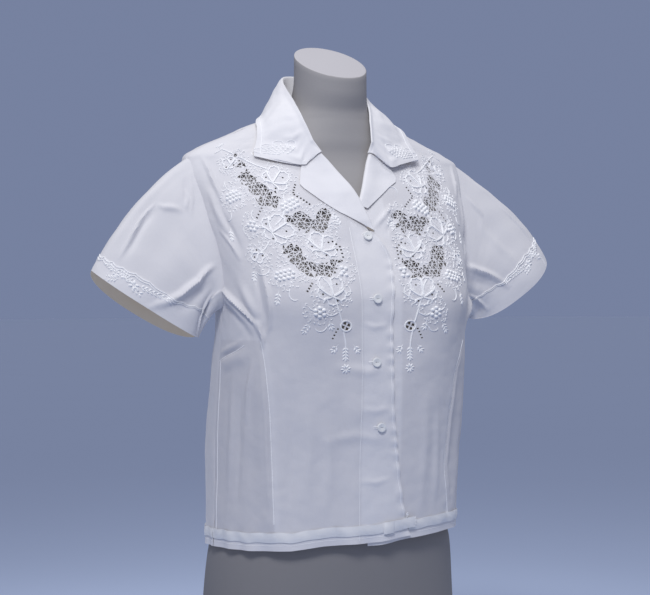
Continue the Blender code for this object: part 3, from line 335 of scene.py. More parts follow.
def filled(outline, holes, step):
    # triangles over a flat outline with holes, from a staggered lattice
    flat = np.asarray([tuple(p) for p in outline])
    low, high = flat.min(axis=0), flat.max(axis=0)
    rows = int((high[1] - low[1]) / (step * 0.87)) + 1
    columns = int((high[0] - low[0]) / step) + 1
    lattice = np.array([(low[0] + (i + 0.5 * (j % 2)) * step, low[1] + (j + 0.5) * step * 0.87)
                        for j in range(rows) for i in range(columns)])
    keep = insideLoop(lattice, outline) & (awayFrom(lattice, outline) > 0.6 * step)
    lattice = lattice[keep]
    points = [Vector(p) for p in outline]
    edges = [(i, (i + 1) % len(outline)) for i in range(len(outline))]
    middles = [np.mean([tuple(p) for p in hole], axis=0) for hole in holes]
    reach = [max((p - Vector(m)).length for p in hole) for hole, m in zip(holes, middles)]
    for hole, middle, far in zip(holes, middles, reach):
        first = len(points)
        points += [Vector(p) for p in hole]
        edges += [(first + i, first + (i + 1) % len(hole)) for i in range(len(hole))]
        lattice = lattice[((lattice - middle) ** 2).sum(axis=1) > (far + 0.0005) ** 2]
    points += [Vector(p) for p in lattice]
    verts, _, faces, _, _, _ = delaunay_2d_cdt(points, edges, [], 0, 1e-7)
    verts = np.asarray([tuple(p) for p in verts])
    faces = np.asarray([tuple(f) for f in faces])
    centres = verts[faces].mean(axis=1)
    keep = insideLoop(centres, outline)
    for hole, middle, far in zip(holes, middles, reach):
        near = np.flatnonzero(((centres - middle) ** 2).sum(axis=1) < far**2)
        keep[near[insideLoop(centres[near], hole)]] = False
    return verts, faces[keep]


def cutArea(verts, faces):
    corners = verts[faces]
    along, across = corners[:, 1] - corners[:, 0], corners[:, 2] - corners[:, 0]
    return float(np.abs(np.cross(along, across)).sum() / 2)


def ray(turn, reach=1.0):
    return reach * np.array([math.cos(turn), math.sin(turn)])


def lengthsAlong(points):
    return np.concatenate([[0.0], np.cumsum(np.linalg.norm(np.diff(points, axis=0), axis=1))])


# materials
class Tie:
    # a shader socket that takes part in plain arithmetic
    def __init__(self, kit, socket):
        self.kit, self.socket = kit, socket

    def sum(self, how, other, swap=False):
        pair = (other, self) if swap else (self, other)
        return self.kit.node("ShaderNodeMath", {"operation": how}, {0: pair[0], 1: pair[1]})

    def __add__(self, other):
        return self.sum("ADD", other)

    def __radd__(self, other):
        return self.sum("ADD", other)

    def __sub__(self, other):
        return self.sum("SUBTRACT", other)

    def __rsub__(self, other):
        return self.sum("SUBTRACT", other, True)

    def __mul__(self, other):
        return self.sum("MULTIPLY", other)

    def __rmul__(self, other):
        return self.sum("MULTIPLY", other)


class Kit:
    # one material with its shader and one way to add any node
    def __init__(self, name, **fixed):
        self.material = bpy.data.materials.new(name)
        self.material.use_nodes = True
        self.tree = self.material.node_tree
        self.shader = self.tree.nodes["Principled BSDF"]
        for key, value in fixed.items():
            self.shader.inputs[key.replace("_", " ")].default_value = value

    def node(self, kind, settings, values, out=0):
        made = self.tree.nodes.new(kind)
        for key, value in settings.items():
            if key == "stops":
                while len(made.color_ramp.elements) < len(value):
                    made.color_ramp.elements.new(0.5)
                for element, (place, colour) in zip(made.color_ramp.elements, value):
                    element.position, element.color = place, colour
            else:
                setattr(made, key, value)
        for key, value in values.items():
            if isinstance(value, Tie):
                self.tree.links.new(value.socket, made.inputs[key])
            else:
                made.inputs[key].default_value = value
        return Tie(self, made.outputs[out])

    def mix(self, share, first, second):
        return self.node("ShaderNodeMix", {"data_type": "RGBA"}, {0: share, 6: first, 7: second}, 2)

    def feed(self, name, value):
        self.tree.links.new(value.socket, self.shader.inputs[name])

    def cloud(self, place, scale, detail, **more):
        values = {"Vector": place, "Scale": scale, "Detail": detail, **more}
        return self.node("ShaderNodeTexNoise", {}, values)

    def bump(self, height, strength, distance):
        values = {"Height": height, "Strength": strength, "Distance": distance}
        self.feed("Normal", self.node("ShaderNodeBump", {}, values))


def rgb(r, g, b):
    return (r, g, b, 1.0)


def linenKit(name, sheer, dense, glow=0.0):
    # plain weave with slubs; the share attribute is 1 where the cloth lies double or is worked over,
    # and on the fronts it also carries painted shade on the side panels and painted light on the shoulders;
    # the glow stands for daylight coming through to the inside
    kit = Kit(name, Roughness=0.86, Sheen_Weight=0.2, Sheen_Roughness=0.5, Specular_IOR_Level=0.25,
              Emission_Color=rgb(*sheer), Emission_Strength=glow)
    place = kit.node("ShaderNodeUVMap", {"uv_map": "Flat"}, {})
    denseAndPaintedLightShare = kit.node("ShaderNodeAttribute", {"attribute_name": "dense"}, {}, 2)
    spots = kit.cloud(place, 26.0, 4.0, Roughness=0.55)
    acrossPlace = kit.node("ShaderNodeMapping", {}, {"Vector": place, "Scale": (140.0, 2600.0, 1.0)})
    upPlace = kit.node("ShaderNodeMapping", {}, {"Vector": place, "Scale": (2600.0, 140.0, 1.0)})
    across = kit.cloud(acrossPlace, 1.0, 1.0)
    up = kit.cloud(upPlace, 1.0, 1.0)
    weave = across * 0.5 + up * 0.5
    base = kit.mix(denseAndPaintedLightShare, rgb(*sheer), rgb(*dense))
    shade = kit.mix(spots * 0.6 + weave * 0.4 - 0.1, rgb(0.90, 0.91, 0.945), rgb(1.0, 1.0, 1.0))
    multiply = {"data_type": "RGBA", "blend_type": "MULTIPLY"}
    colour = kit.node("ShaderNodeMix", multiply, {0: 1.0, 6: base, 7: shade}, 2)
    kit.feed("Base Color", colour)
    kit.feed("Roughness", spots * 0.10 + 0.80)
    wrinkle = kit.cloud(place, 55.0, 6.0, Roughness=0.6)
    worked = kit.node("ShaderNodeAttribute", {"attribute_name": "worked"}, {}, 2)
    cells = kit.node("ShaderNodeTexVoronoi", {"feature": "SMOOTH_F1"}, {"Vector": place, "Scale": 480.0})
    kit.bump(weave * 0.15 + wrinkle * 0.75 + worked * (1.0 - cells) * 0.9, 0.5, 0.0012)
    return kit.material


linenTone = {"sheer": (0.600, 0.590, 0.613), "dense": (0.820, 0.812, 0.828),
             "inside": (0.62, 0.565, 0.49), "glow": 0.16}
linenOut = linenKit("linenOutside", linenTone["sheer"], linenTone["dense"])
# the inner faces get a copy of the linen with painted shade, a warm darker tone, and a faint glow of painted
# daylight coming through the cloth
linenInPaintedShade = linenKit("linenInsidePaintedShade", linenTone["inside"], linenTone["inside"], linenTone["glow"])


def threadMaterial():
    # padded satin stitch: brighter than the cloth, with fine close threads
    kit = Kit("whiteworkThread", Roughness=0.55, Sheen_Weight=0.2, Specular_IOR_Level=0.35)
    place = kit.node("ShaderNodeTexCoord", {}, {}, 3)
    grain = kit.cloud(place, 900.0, 2.0)
    kit.feed("Base Color", kit.mix(grain, rgb(0.82, 0.83, 0.86), rgb(0.93, 0.93, 0.94)))
    kit.feed("Roughness", grain * 0.2 + 0.45)
    kit.bump(grain, 0.5, 0.0004)
    return kit.material


def formMaterial(name, dark, light):
    kit = Kit(name, Roughness=0.72, Specular_IOR_Level=0.35)
    place = kit.node("ShaderNodeTexCoord", {}, {}, 3)
    grain = kit.cloud(place, 420.0, 3.0)
    cloud = kit.cloud(place, 9.0, 3.0)
    # painted shade: the paint darkens from 0.45 m down to 0.10 m, where less light reaches the lower form
    height = kit.node("ShaderNodeSeparateXYZ", {}, {"Vector": place}, 2)
    low = kit.node("ShaderNodeMapRange", {}, {"Value": height, "From Min": 0.10, "From Max": 0.45})
    tone = kit.mix(cloud * 0.7 + grain * 0.3, rgb(*dark), rgb(*light))
    kit.feed("Base Color", kit.mix(low, rgb(*[c * 0.72 for c in dark]), tone))
    kit.feed("Roughness", cloud * 0.12 + 0.64)
    kit.bump(grain, 0.12, 0.0004)
    return kit.material


def tapeMaterial():
    kit = Kit("twillTape", Roughness=0.62, Sheen_Weight=0.25, Specular_IOR_Level=0.3)
    place = kit.node("ShaderNodeUVMap", {"uv_map": "Flat"}, {})
    slant = kit.node("ShaderNodeMapping", {}, {"Vector": place, "Rotation": (0, 0, 0.8)})
    bands = {"Vector": slant, "Scale": 420.0, "Distortion": 1.0}
    ribs = kit.node("ShaderNodeTexWave", {"wave_type": "BANDS"}, bands)
    spots = kit.cloud(place, 120.0, 3.0)
    kit.feed("Base Color", kit.mix(spots, rgb(0.69, 0.70, 0.735), rgb(0.785, 0.79, 0.81)))
    kit.feed("Roughness", spots * 0.15 + 0.52)
    kit.bump(ribs * 0.4 + spots * 0.6, 0.4, 0.0006)
    return kit.material


def pearlMaterial():
    kit = Kit("buttonPearl", Roughness=0.2, Coat_Weight=0.5, Coat_Roughness=0.1)
    place = kit.node("ShaderNodeTexCoord", {}, {}, 3)
    cloud = kit.cloud(place, 260.0, 3.0, Distortion=1.4)
    kit.feed("Base Color", kit.mix(cloud, rgb(0.68, 0.70, 0.72), rgb(0.90, 0.90, 0.89)))
    kit.feed("Roughness", cloud * 0.15 + 0.14)
    kit.bump(cloud, 0.15, 0.0003)
    return kit.material


formPaint = formMaterial("formPaint", (0.29, 0.282, 0.290), (0.345, 0.336, 0.343))
# painted light: a lighter copy of the form's paint for the flat top of the neck, which catches the light from
# above
formTopPaintedLight = formMaterial("formTopPaintedLight", (0.445, 0.434, 0.458), (0.498, 0.487, 0.512))
threadWhite, twillTape, buttonPearl = threadMaterial(), tapeMaterial(), pearlMaterial()
print("materials ready")


# making pieces
def pieceFrom(name, points, faces, materials, flat=None, shares=None):
    mesh = bpy.data.meshes.new(name)
    mesh.from_pydata([tuple(map(float, p)) for p in points], [], [tuple(int(i) for i in f) for f in faces])
    for material in materials:
        mesh.materials.append(material)
    if flat is not None:
        layer = mesh.uv_layers.new(name="Flat")
        corners = np.zeros(len(mesh.loops), np.int32)
        mesh.loops.foreach_get("vertex_index", corners)
        layer.data.foreach_set("uv", np.asarray(flat, np.float32)[corners].ravel())
    for key, values in (shares or {}).items():
        mesh.attributes.new(key, "FLOAT", "POINT").data.foreach_set("value", np.asarray(values, np.float32))
    made = bpy.data.objects.new(name, mesh)
    bpy.context.scene.collection.objects.link(made)
    only(made)
    bpy.ops.object.mode_set(mode="EDIT")
    bpy.ops.mesh.select_all(action="SELECT")
    bpy.ops.mesh.delete_loose()
    bpy.ops.object.mode_set(mode="OBJECT")
    bpy.ops.object.shade_smooth()
    return made


def only(made):
    bpy.ops.object.select_all(action="DESELECT")
    made.select_set(True)
    bpy.context.view_layer.objects.active = made


def applyAll(made):
    only(made)
    for modifier in list(made.modifiers):
        bpy.ops.object.modifier_apply(modifier=modifier.name)


def walled(made, thickness, inside=0):
    # the open surface is the inner face, and the cloth's wall grows outwards
    shell = made.modifiers.new("Wall", "SOLIDIFY")
    shell.thickness = thickness
    shell.offset = 1.0
    shell.use_even_offset = False
    shell.material_offset = -inside
    applyAll(made)
    bpy.ops.object.shade_smooth_by_angle(angle=math.radians(50))


def gridFaces(rows, columns, closed=False):
    faces = []
    for r in range(rows - 1):
        for c in range(columns if closed else columns - 1):
            d = (c + 1) % columns
            faces.append((r * columns + c, r * columns + d, (r + 1) * columns + d, (r + 1) * columns + c))
    return faces


def clothPiece(name, node, points, faces, flat, dense, turned=False, worked=None):
    if turned:
        faces = [tuple(reversed(f)) for f in faces]
    worked = np.zeros(len(flat)) if worked is None else worked
    made = pieceFrom(name, points, faces, [linenInPaintedShade, linenOut], flat, {"dense": dense, "worked": worked})
    for polygon in made.data.polygons:
        polygon.material_index = 1
    walled(made, bodySet["wall"], 1)
    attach(made, "root")
    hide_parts(node)
    return made


class Relief:
    # raised threads on a cloth surface, gathered into one piece
    def __init__(self, surface, lift):
        self.surface, self.lift = surface, lift
        self.flat, self.rise, self.faces = [], [], []

    def add(self, flat, rise, faces):
        first = len(self.flat)
        self.flat += [tuple(p) for p in flat]
        self.rise += list(rise)
        self.faces += [tuple(first + i for i in face) for face in faces]

    def thread(self, path, width, height, closed=False, taper=True):
        # a half-round ridge along a flat path
        path = np.asarray([tuple(p) for p in path], float)
        count = len(path)
        if closed:
            tangent = np.roll(path, -1, axis=0) - np.roll(path, 1, axis=0)
        else:
            tangent = np.gradient(path, axis=0)
        tangent /= np.maximum(np.linalg.norm(tangent, axis=1), 1e-9)[:, None]
        normal = np.stack([-tangent[:, 1], tangent[:, 0]], axis=1)
        offsets = np.array([0.5, 0.32, -0.32, -0.5])
        heights = np.array([-0.25, 1.0, 1.0, -0.25])
        size = np.ones(count)
        if not closed and taper:
            ends = np.minimum(np.arange(count), np.arange(count)[::-1])
            size = np.clip(0.35 + ends / 3.0, 0, 1)
        flat, rise = [], []
        for i in range(count):
            for offset, high in zip(offsets, heights):
                flat.append(path[i] + normal[i] * offset * width * size[i])
                rise.append(height * high * (size[i] if high > 0 else 1))
        faces = []
        last = count if closed else count - 1
        for i in range(last):
            j = (i + 1) % count
            for k in range(4):
                m = (k + 1) % 4
                faces.append((i * 4 + k, j * 4 + k, j * 4 + m, i * 4 + m))
        if not closed:
            faces.append((0, 1, 2, 3))
            faces.append((count * 4 - 1, count * 4 - 2, count * 4 - 3, count * 4 - 4))
        self.add(flat, rise, faces)

    def dot(self, centre, along, across, turn, height, sides=8):
        # one padded satin dot or petal
        c, s = math.cos(turn), math.sin(turn)
        flat, rise = [], []
        for share, high in ((1.0, 0.0), (0.78, 0.68)):
            for i in range(sides):
                a = 2 * math.pi * i / sides
                x, y = along * share * math.cos(a), across * share * math.sin(a)
                flat.append((centre[0] + x * c - y * s, centre[1] + x * s + y * c))
                rise.append(height * high if high else -0.0002)
        flat += [tuple(centre), tuple(centre)]
        rise += [height, -0.0003]
        faces = []
        for i in range(sides):
            j = (i + 1) % sides
            faces += [(i, j, sides + j, sides + i), (sides + i, sides + j, 2 * sides), (j, i, 2 * sides + 1)]
        self.add(flat, rise, faces)

    def piece(self, name):
        flat = np.array(self.flat)
        lift = self.lift(flat) if callable(self.lift) else np.full(len(flat), self.lift)
        points = self.surface(flat, lift + np.array(self.rise))
        made = pieceFrom(name, points, self.faces, [threadWhite])
        only(made)
        bpy.ops.object.mode_set(mode="EDIT")
        bpy.ops.mesh.select_all(action="SELECT")
        bpy.ops.mesh.normals_make_consistent(inside=False)
        bpy.ops.object.mode_set(mode="OBJECT")
        bpy.ops.object.shade_smooth_by_angle(angle=math.radians(60))
        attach(made, "root")
        return made


# dress form
formSet = {"sides": 128, "rows": 120, "inset": 0.0012, "bust": 0.9, "neckSlant": 0.56, "slantStarts": 0.795,
           "topRun": 0.854, "rim": 0.0012}


def buildForm():
    around = np.arange(formSet["sides"]) * 2 * backRound / formSet["sides"]
    rings = []
    for run in np.linspace(0.0, formSet["topRun"], formSet["rows"]):
        level = np.full_like(around, run)
        inset = formSet["inset"] * min(1.0, max(0.0, (run - 0.62) / 0.03))
        normal = ringNormals(formRings, around, level)
        bust = bustHeight(around, run) + bustHeight(around - 4 * sideRound, run)
        ring = ringPoints(formRings, around, level) + normal * (bust * formSet["bust"] - inset)[:, None]
        if run == 0.0:
            ring[:, 2] = 0.0
        share = max(0.0, (run - formSet["slantStarts"]) / (formSet["topRun"] - formSet["slantStarts"]))
        height, _, centre = readRows(formRings, np.array([run]))[0, 1:4]
        if share > 0:
            ring[:, 2] = height + share * formSet["neckSlant"] * (ring[:, 1] - centre)
        rings.append(ring)
    ring = rings[-1]
    middle = ring.mean(axis=0)
    for inwards, up in ((0.25, 0.55), (0.6, 0.85), (1.0, 1.0), (4.0, 1.0)):
        way = (middle - ring) / np.linalg.norm(middle - ring, axis=1)[:, None]
        moved = ring + way * inwards * formSet["rim"]
        moved[:, 2] += up * formSet["rim"] * 0.8
        rings.append(moved)
    faces = gridFaces(len(rings), formSet["sides"], True)
    points = np.vstack(rings)
    count = formSet["sides"]
    faces.append(tuple(reversed(range(count))))
    faces.append(tuple(range(len(points) - count, len(points))))
    made = pieceFrom("dressForm", points, faces, [formPaint, formTopPaintedLight])
    # the upward faces of the neck top take the lighter copy with painted light
    for polygon in made.data.polygons:
        polygon.material_index = 1 if polygon.normal.z > 0.75 and polygon.center.z > 0.7 else 0
    only(made)
    bpy.ops.object.shade_smooth_by_angle(angle=math.radians(40))
    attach(made, "root")
    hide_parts("dress_form")


buildForm()
print("dress form built")

# the fronts and the back
hemRight = [(-0.230, 0.184), (-0.150, 0.183), (-0.100, 0.184), (-0.065, 0.189), (0.0, 0.192), (0.05, 0.199)]
hemLeft = [(-0.03, 0.187), (0.0, 0.188), (0.04, 0.194), (0.12, 0.200), (0.230, 0.196)]
hemBack = [(0.228, 0.196), (0.35, 0.189), (0.459, 0.186), (0.60, 0.185), (0.690, 0.184)]
rightEdge = [(0.150, 0.043), (0.205, 0.040), (0.232, 0.033), (0.290, 0.024), (0.360, 0.016),
             (0.440, 0.015), (0.520, 0.021), (0.545, 0.010), (0.556, 0.003)]
neckRight = [(-0.066, 0.7755), (-0.058, 0.745), (-0.051, 0.715), (-0.0465, 0.690), (-0.0440, 0.668)]
neckLeft = [(0.066, 0.7755), (0.058, 0.745), (0.051, 0.715), (0.0465, 0.690), (0.0420, 0.668)]
neckBack = [(0.06, 0.7855), (0.15, 0.782), (0.25, 0.7755)]
rollRight = [(-0.0425, 0.664), (-0.030, 0.636), (-0.0185, 0.613), (-0.0095, 0.594), (-0.003, 0.573),
             (0.003, 0.556)]
rollLeft = [(0.0285, 0.664), (0.0215, 0.641), (0.0115, 0.619), (0.0005, 0.598), (-0.006, 0.586)]
lapelRightEdge = [(-0.005, 0.5615), (-0.033, 0.577), (-0.056, 0.594), (-0.0705, 0.607), (-0.0735, 0.612),
                  (-0.0655, 0.6355)]
lapelLeftEdge = [(0.0035, 0.5835), (0.020, 0.595), (0.043, 0.611), (0.0555, 0.618), (0.0580, 0.623),
                 (0.0500, 0.647)]
frontSet = {"step": 0.0023, "underlap": -0.014, "setBack": 0.0048, "shoulderRound": 0.216,
            "armholeTop": 0.648, "armholeBottom": 0.467, "reachFront": 0.028, "reachBack": 0.050}
dartLines = {"right": [(0.215, -0.120), (0.337, -0.126), (0.384, -0.131), (0.403, -0.134), (0.428, -0.139)],
             "left": [(0.215, 0.108), (0.277, 0.099), (0.350, 0.105), (0.395, 0.112), (0.428, 0.129)]}


def armholeLine(side, steps, start, end):
    line = []
    seam = frontSet["shoulderRound"]
    for turn in np.linspace(start, end, steps + 1):
        mix = (1 - math.cos(turn)) / 2
        top, low = frontSet["armholeTop"], frontSet["armholeBottom"]
        reach = frontSet["reachFront"] if math.sin(turn) > 0 else frontSet["reachBack"]
        around = seam + (sideRound - seam) * mix - reach * math.sin(turn)
        line.append(Vector((side * around, top - (top - low) * mix)))
    return line


def frontRise(flat):
    # how far the right front lies above the body's own face near the buttoned edge
    x = ringPoints(bodyRings, flat[:, 0], flat[:, 1])[:, 0]
    t = np.clip((x + 0.050) / 0.024, 0, 1)
    fade = np.clip((0.640 - flat[:, 1]) / 0.040, 0, 1)
    inwards = x - between(rightEdge, flat[:, 1])
    turnedUp = 0.0032 * np.exp(-((flat[:, 1] - 0.540) / 0.012) ** 2) * np.clip(inwards / 0.014 + 1, 0, 1) ** 2
    waves = np.sin(flat[:, 1] * 330 + 2 * np.sin(flat[:, 1] * 61))
    puckers = 0.0009 * waves * np.clip(inwards / 0.012 + 1, 0, 1)
    low = np.clip((0.53 - flat[:, 1]) / 0.02, 0, 1)
    return bodySet["overlap"] * t * t * (3 - 2 * t) * fade + turnedUp + puckers * low


# whitework: places are (across from the middle, run) on one front and mirrored for the other
motifSet = {"middle": -0.004, "pitch": 0.0051, "jitter": 0.0016, "bar": 0.00072, "grapePitch": 0.0049,
            "grapeSize": 0.00255, "grapeHeight": 0.0027, "curlPitch": 0.0047, "curl": 0.0017,
            "eyelet": 0.00115}
vineLeaves = [  # x, run, size, turn
    (0.0965, 0.6180, 0.0185, 2.20), (0.1100, 0.5570, 0.0200, 2.60), (0.0610, 0.5370, 0.0180, 1.90),
    (0.0600, 0.4840, 0.0185, 1.60), (0.1400, 0.6400, 0.0105, 0.90), (0.1320, 0.5280, 0.0100, 5.20),
]
netDiscs = [  # x, run, radius
    (0.128, 0.622, 0.009), (0.120, 0.610, 0.011), (0.112, 0.598, 0.011), (0.103, 0.590, 0.008),
    (0.129, 0.640, 0.005), (0.134, 0.653, 0.004), (0.098, 0.577, 0.006), (0.086, 0.572, 0.008),
    (0.075, 0.566, 0.011), (0.064, 0.560, 0.011), (0.055, 0.567, 0.008), (0.049, 0.577, 0.006),
    (0.099, 0.536, 0.008), (0.094, 0.526, 0.010), (0.090, 0.515, 0.009), (0.080, 0.509, 0.009),
    (0.068, 0.507, 0.009), (0.056, 0.509, 0.009), (0.048, 0.518, 0.007), (0.043, 0.529, 0.005),
]
bunches = [  # x, run, half length, half width, slope
    (0.1460, 0.5970, 0.0130, 0.0085, -0.3), (0.0880, 0.5870, 0.0110, 0.0078, -0.5),
    (0.1090, 0.5030, 0.0125, 0.0085, -0.2), (0.0405, 0.5080, 0.0042, 0.0090, 0.2),
    (0.0750, 0.4620, 0.0095, 0.0062, -0.5), (0.1330, 0.5620, 0.0060, 0.0075, 0.2),
]
ladders = [  # short rows of small gaps
    [(0.075, 0.612), (0.080, 0.601), (0.072, 0.5945), (0.0645, 0.588)],
    [(0.046, 0.544), (0.038, 0.536), (0.0375, 0.525)],
    [(0.120, 0.583), (0.127, 0.572)],
    [(0.0530, 0.4420), (0.0560, 0.4370), (0.0590, 0.4310)],
    [(0.082, 0.492), (0.088, 0.484)],
]
wheels = [(0.0430, 0.4455, 0.0050)]  # gaps crossed by four bars: x, run, radius
stems = [
    [(0.146, 0.668), (0.137, 0.660), (0.128, 0.650), (0.116, 0.640), (0.100, 0.632)],
    [(0.092, 0.600), (0.094, 0.588), (0.100, 0.572), (0.110, 0.562)],
    [(0.078, 0.548), (0.070, 0.540), (0.060, 0.533)],
    [(0.070, 0.500), (0.063, 0.492), (0.058, 0.480), (0.052, 0.462), (0.046, 0.440),
     (0.043, 0.420), (0.043, 0.404)],
    [(0.118, 0.545), (0.124, 0.535), (0.132, 0.528)],
    [(0.052, 0.462), (0.062, 0.458), (0.070, 0.462)],
]
tendrils = [  # x, run, length, turn, curl
    (0.060, 0.604, 0.022, 1.9, 2.6), (0.150, 0.618, 0.024, 5.0, -2.6), (0.136, 0.548, 0.022, 0.4, 2.8),
    (0.036, 0.556, 0.018, 1.2, -2.6), (0.122, 0.512, 0.024, 5.2, 2.2), (0.088, 0.470, 0.020, 4.2, -2.4),
    (0.078, 0.640, 0.022, 0.9, 2.4), (0.040, 0.492, 0.018, 4.0, 2.6), (0.104, 0.488, 0.020, 5.4, -2.8),
    (0.156, 0.655, 0.018, 2.2, -2.2), (0.066, 0.446, 0.018, 5.0, 2.5), (0.110, 0.652, 0.020, 0.4, 2.6),
    (0.128, 0.582, 0.020, 5.6, -2.6), (0.152, 0.580, 0.018, 4.4, 2.4),
]
sprigs = [  # x, run, pairs of leaflets, turn
    (0.043, 0.424, 4, -1.57), (0.052, 0.424, 2, -0.9), (0.034, 0.424, 2, -2.2), (0.150, 0.668, 3, 1.3),
    (0.084, 0.450, 3, -1.0), (0.136, 0.512, 3, -1.2), (0.032, 0.560, 3, 1.2), (0.154, 0.560, 3, -1.4),
    (0.116, 0.486, 3, -1.3), (0.064, 0.452, 2, -1.9),
]


def hemPoints(hem, rounds):
    return [Vector((a, float(between(hem, a)))) for a in rounds]


def pressed(verts, lines):
    # how much closer to the form the cloth lies along its seams
    return sum(0.0007 * np.exp(-(awayFrom(verts, line) / 0.0016) ** 2) for line in lines)


def placed(side, x, run):
    return np.array([roundAt(motifSet["middle"] + side * x, run), run])


def turnedSet(points, turn):
    c, s = math.cos(turn), math.sin(turn)
    points = np.asarray(points, float)
    return np.stack([points[:, 0] * c - points[:, 1] * s, points[:, 0] * s + points[:, 1] * c], axis=1)


def onFront(side, x, run, turn, shape):
    # one form's own flat shape turned and put in its place on a front
    return list(turnedSet(shape * (side, 1), turn * side) + placed(side, x, run))


def leafReach(angle, size):
    lobes = 0.64 + 0.36 * np.abs(np.cos(2.5 * (angle - math.pi))) ** 0.7
    return size * lobes * (0.88 + 0.12 * np.cos(angle)) * (1 + 0.035 * np.cos(22 * angle))


def seenFrom(side, points, x, run, turn):
    # flat places as seen from one form's own middle and direction
    away = (points - placed(side, x, run)) * (side, 1)
    return turnedSet(away, -turn)


def inLeaves(side, points, grow):
    result = np.zeros(len(points), bool)
    for x, run, size, turn in vineLeaves:
        own = seenFrom(side, points, x, run, turn)
        result |= np.hypot(*own.T) < leafReach(np.arctan2(own[:, 1], own[:, 0]), size) + grow
    return result


def inBunches(side, points, grow):
    result = np.zeros(len(points), bool)
    for x, run, halfLong, halfWide, slope in bunches:
        own = seenFrom(side, points, x, run, slope)
        result |= (own[:, 0] / (halfLong + grow)) ** 2 + (own[:, 1] / (halfWide + grow)) ** 2 < 1
    return result


def inDiscs(side, points, grow):
    result = np.zeros(len(points), bool)
    for x, run, radius in netDiscs:
        result |= np.hypot(*(points - placed(side, x, run)).T) < radius * 1.14 + grow
    return result


def nearMotif(side, points, grow):
    return inLeaves(side, points, grow) | inBunches(side, points, grow) | inDiscs(side, points, grow)


def scatter(chance, side, pitch, jitter):
    # a shaken lattice over the whole motif in flat places
    rows, columns = int(0.25 / (pitch * 0.87)), int(0.165 / pitch)
    lattice = np.array([(0.026 + (i + 0.5 * (j % 2)) * pitch, 0.425 + j * pitch * 0.87)
                        for j in range(rows) for i in range(columns)])
    return (lattice + chance.uniform(-jitter, jitter, lattice.shape)) * (side, 1)


def shrunk(corners, inset):
    # a triangle moved in from its edges, or nothing where it is too small
    corners = np.asarray(corners, float)
    edges = np.linalg.norm(np.roll(corners, -1, axis=0) - np.roll(corners, 1, axis=0), axis=1)
    middle = (corners * edges[:, None]).sum(axis=0) / edges.sum()
    a, b = corners[1] - corners[0], corners[2] - corners[0]
    radius = abs(a[0] * b[1] - a[1] * b[0]) / edges.sum()
    if radius < inset + 0.00030:
        return None
    return middle + (corners - middle) * (1 - inset / radius)


def cutLoops(side, seed):
    # every gap of one front, and the middles of all gaps
    chance = np.random.default_rng(seed)
    loops = []
    taken = []
    for path in ladders:
        line = smoothPath([placed(side, x, run) for x, run in path], 0.0031)
        ways = np.gradient(line, axis=0)
        for place, way in zip(line, ways / np.linalg.norm(ways, axis=1)[:, None]):
            across = np.array([-way[1], way[0]])
            loops.append([place + a * way + b * across for a, b in
                          ((-0.00085, -0.0011), (0.00085, -0.0010), (0.00085, 0.0010), (-0.00085, 0.0011))])
            taken.append(place)
    for x, run, radius in wheels:
        for quarter in range(4):
            a = 0.35 + quarter * math.pi / 2
            wedge = [(0.22, 0.0), (0.95, -0.52), (1.05, 0.0), (0.95, 0.52)]
            loops.append([placed(side, x, run) + ray(a + b, radius * share) for share, b in wedge])
            taken.append(placed(side, x, run) + ray(a, 0.6 * radius))
    for x, run, size, turn in vineLeaves:
        for lobe in (0.65, 2.6, 4.4):
            place = onFront(side, x, run, turn, ray(lobe, 0.58 * size)[None])[0]
            loops.append([place + ray(a, motifSet["eyelet"]) for a in np.arange(6) * math.pi / 3])
            taken.append(place)
    seeds = scatter(chance, side, motifSet["pitch"], motifSet["jitter"])
    covered = inLeaves(side, seeds, -0.0020) | inBunches(side, seeds, -0.0010)
    seeds = seeds[inDiscs(side, seeds, 0.0030) & ~covered]
    corners, _, faces, _, _, _ = delaunay_2d_cdt([Vector(p) for p in seeds], [], [], 0, 1e-7)
    corners = np.array([tuple(p) for p in corners])
    fixed = np.array(taken)
    for face in faces:
        triangle = corners[list(face)]
        if np.linalg.norm(np.roll(triangle, 1, axis=0) - triangle, axis=1).max() > motifSet["pitch"] * 1.75:
            continue
        gap = shrunk(triangle, motifSet["bar"] / 2 * chance.uniform(0.7, 1.5))
        uneven = 0.0010 + 0.0050 * noise.noise(Vector((*triangle[0] / 0.007, side)))
        if gap is None or not inDiscs(side, gap, uneven).all():
            continue
        if inLeaves(side, gap, 0.0009).any() or inBunches(side, gap, 0.0012).any():
            continue
        if np.hypot(*(fixed - gap.mean(axis=0)).T).min() < 0.0034:
            continue
        loops.append(list(gap))
        taken.append(gap.mean(axis=0))
    return [[Vector(p) for p in loop] for loop in loops], np.array(taken)


def smoothPath(points, step=0.0016):
    # a soft curve through the given flat places
    points = np.asarray([tuple(p) for p in points], float)
    lengths = lengthsAlong(points)
    at = np.linspace(0, lengths[-1], max(4, int(lengths[-1] / step)))
    return readRows(np.column_stack([lengths, points]), at)[:, 1:]


def brokenThread(relief, path, gaps, width, height, closed=False):
    # a thread that stops where it would cross a gap
    clear = awayFrom(np.asarray(path), gaps) > 0.0019
    if closed and clear.all():
        relief.thread(path, width, height, closed=True)
        return
    part = []
    for place, free in zip(path, clear):
        if free:
            part.append(place)
        if (not free or place is path[-1]) and part:
            if len(part) > 3:
                relief.thread(part, width, height)
            part = []


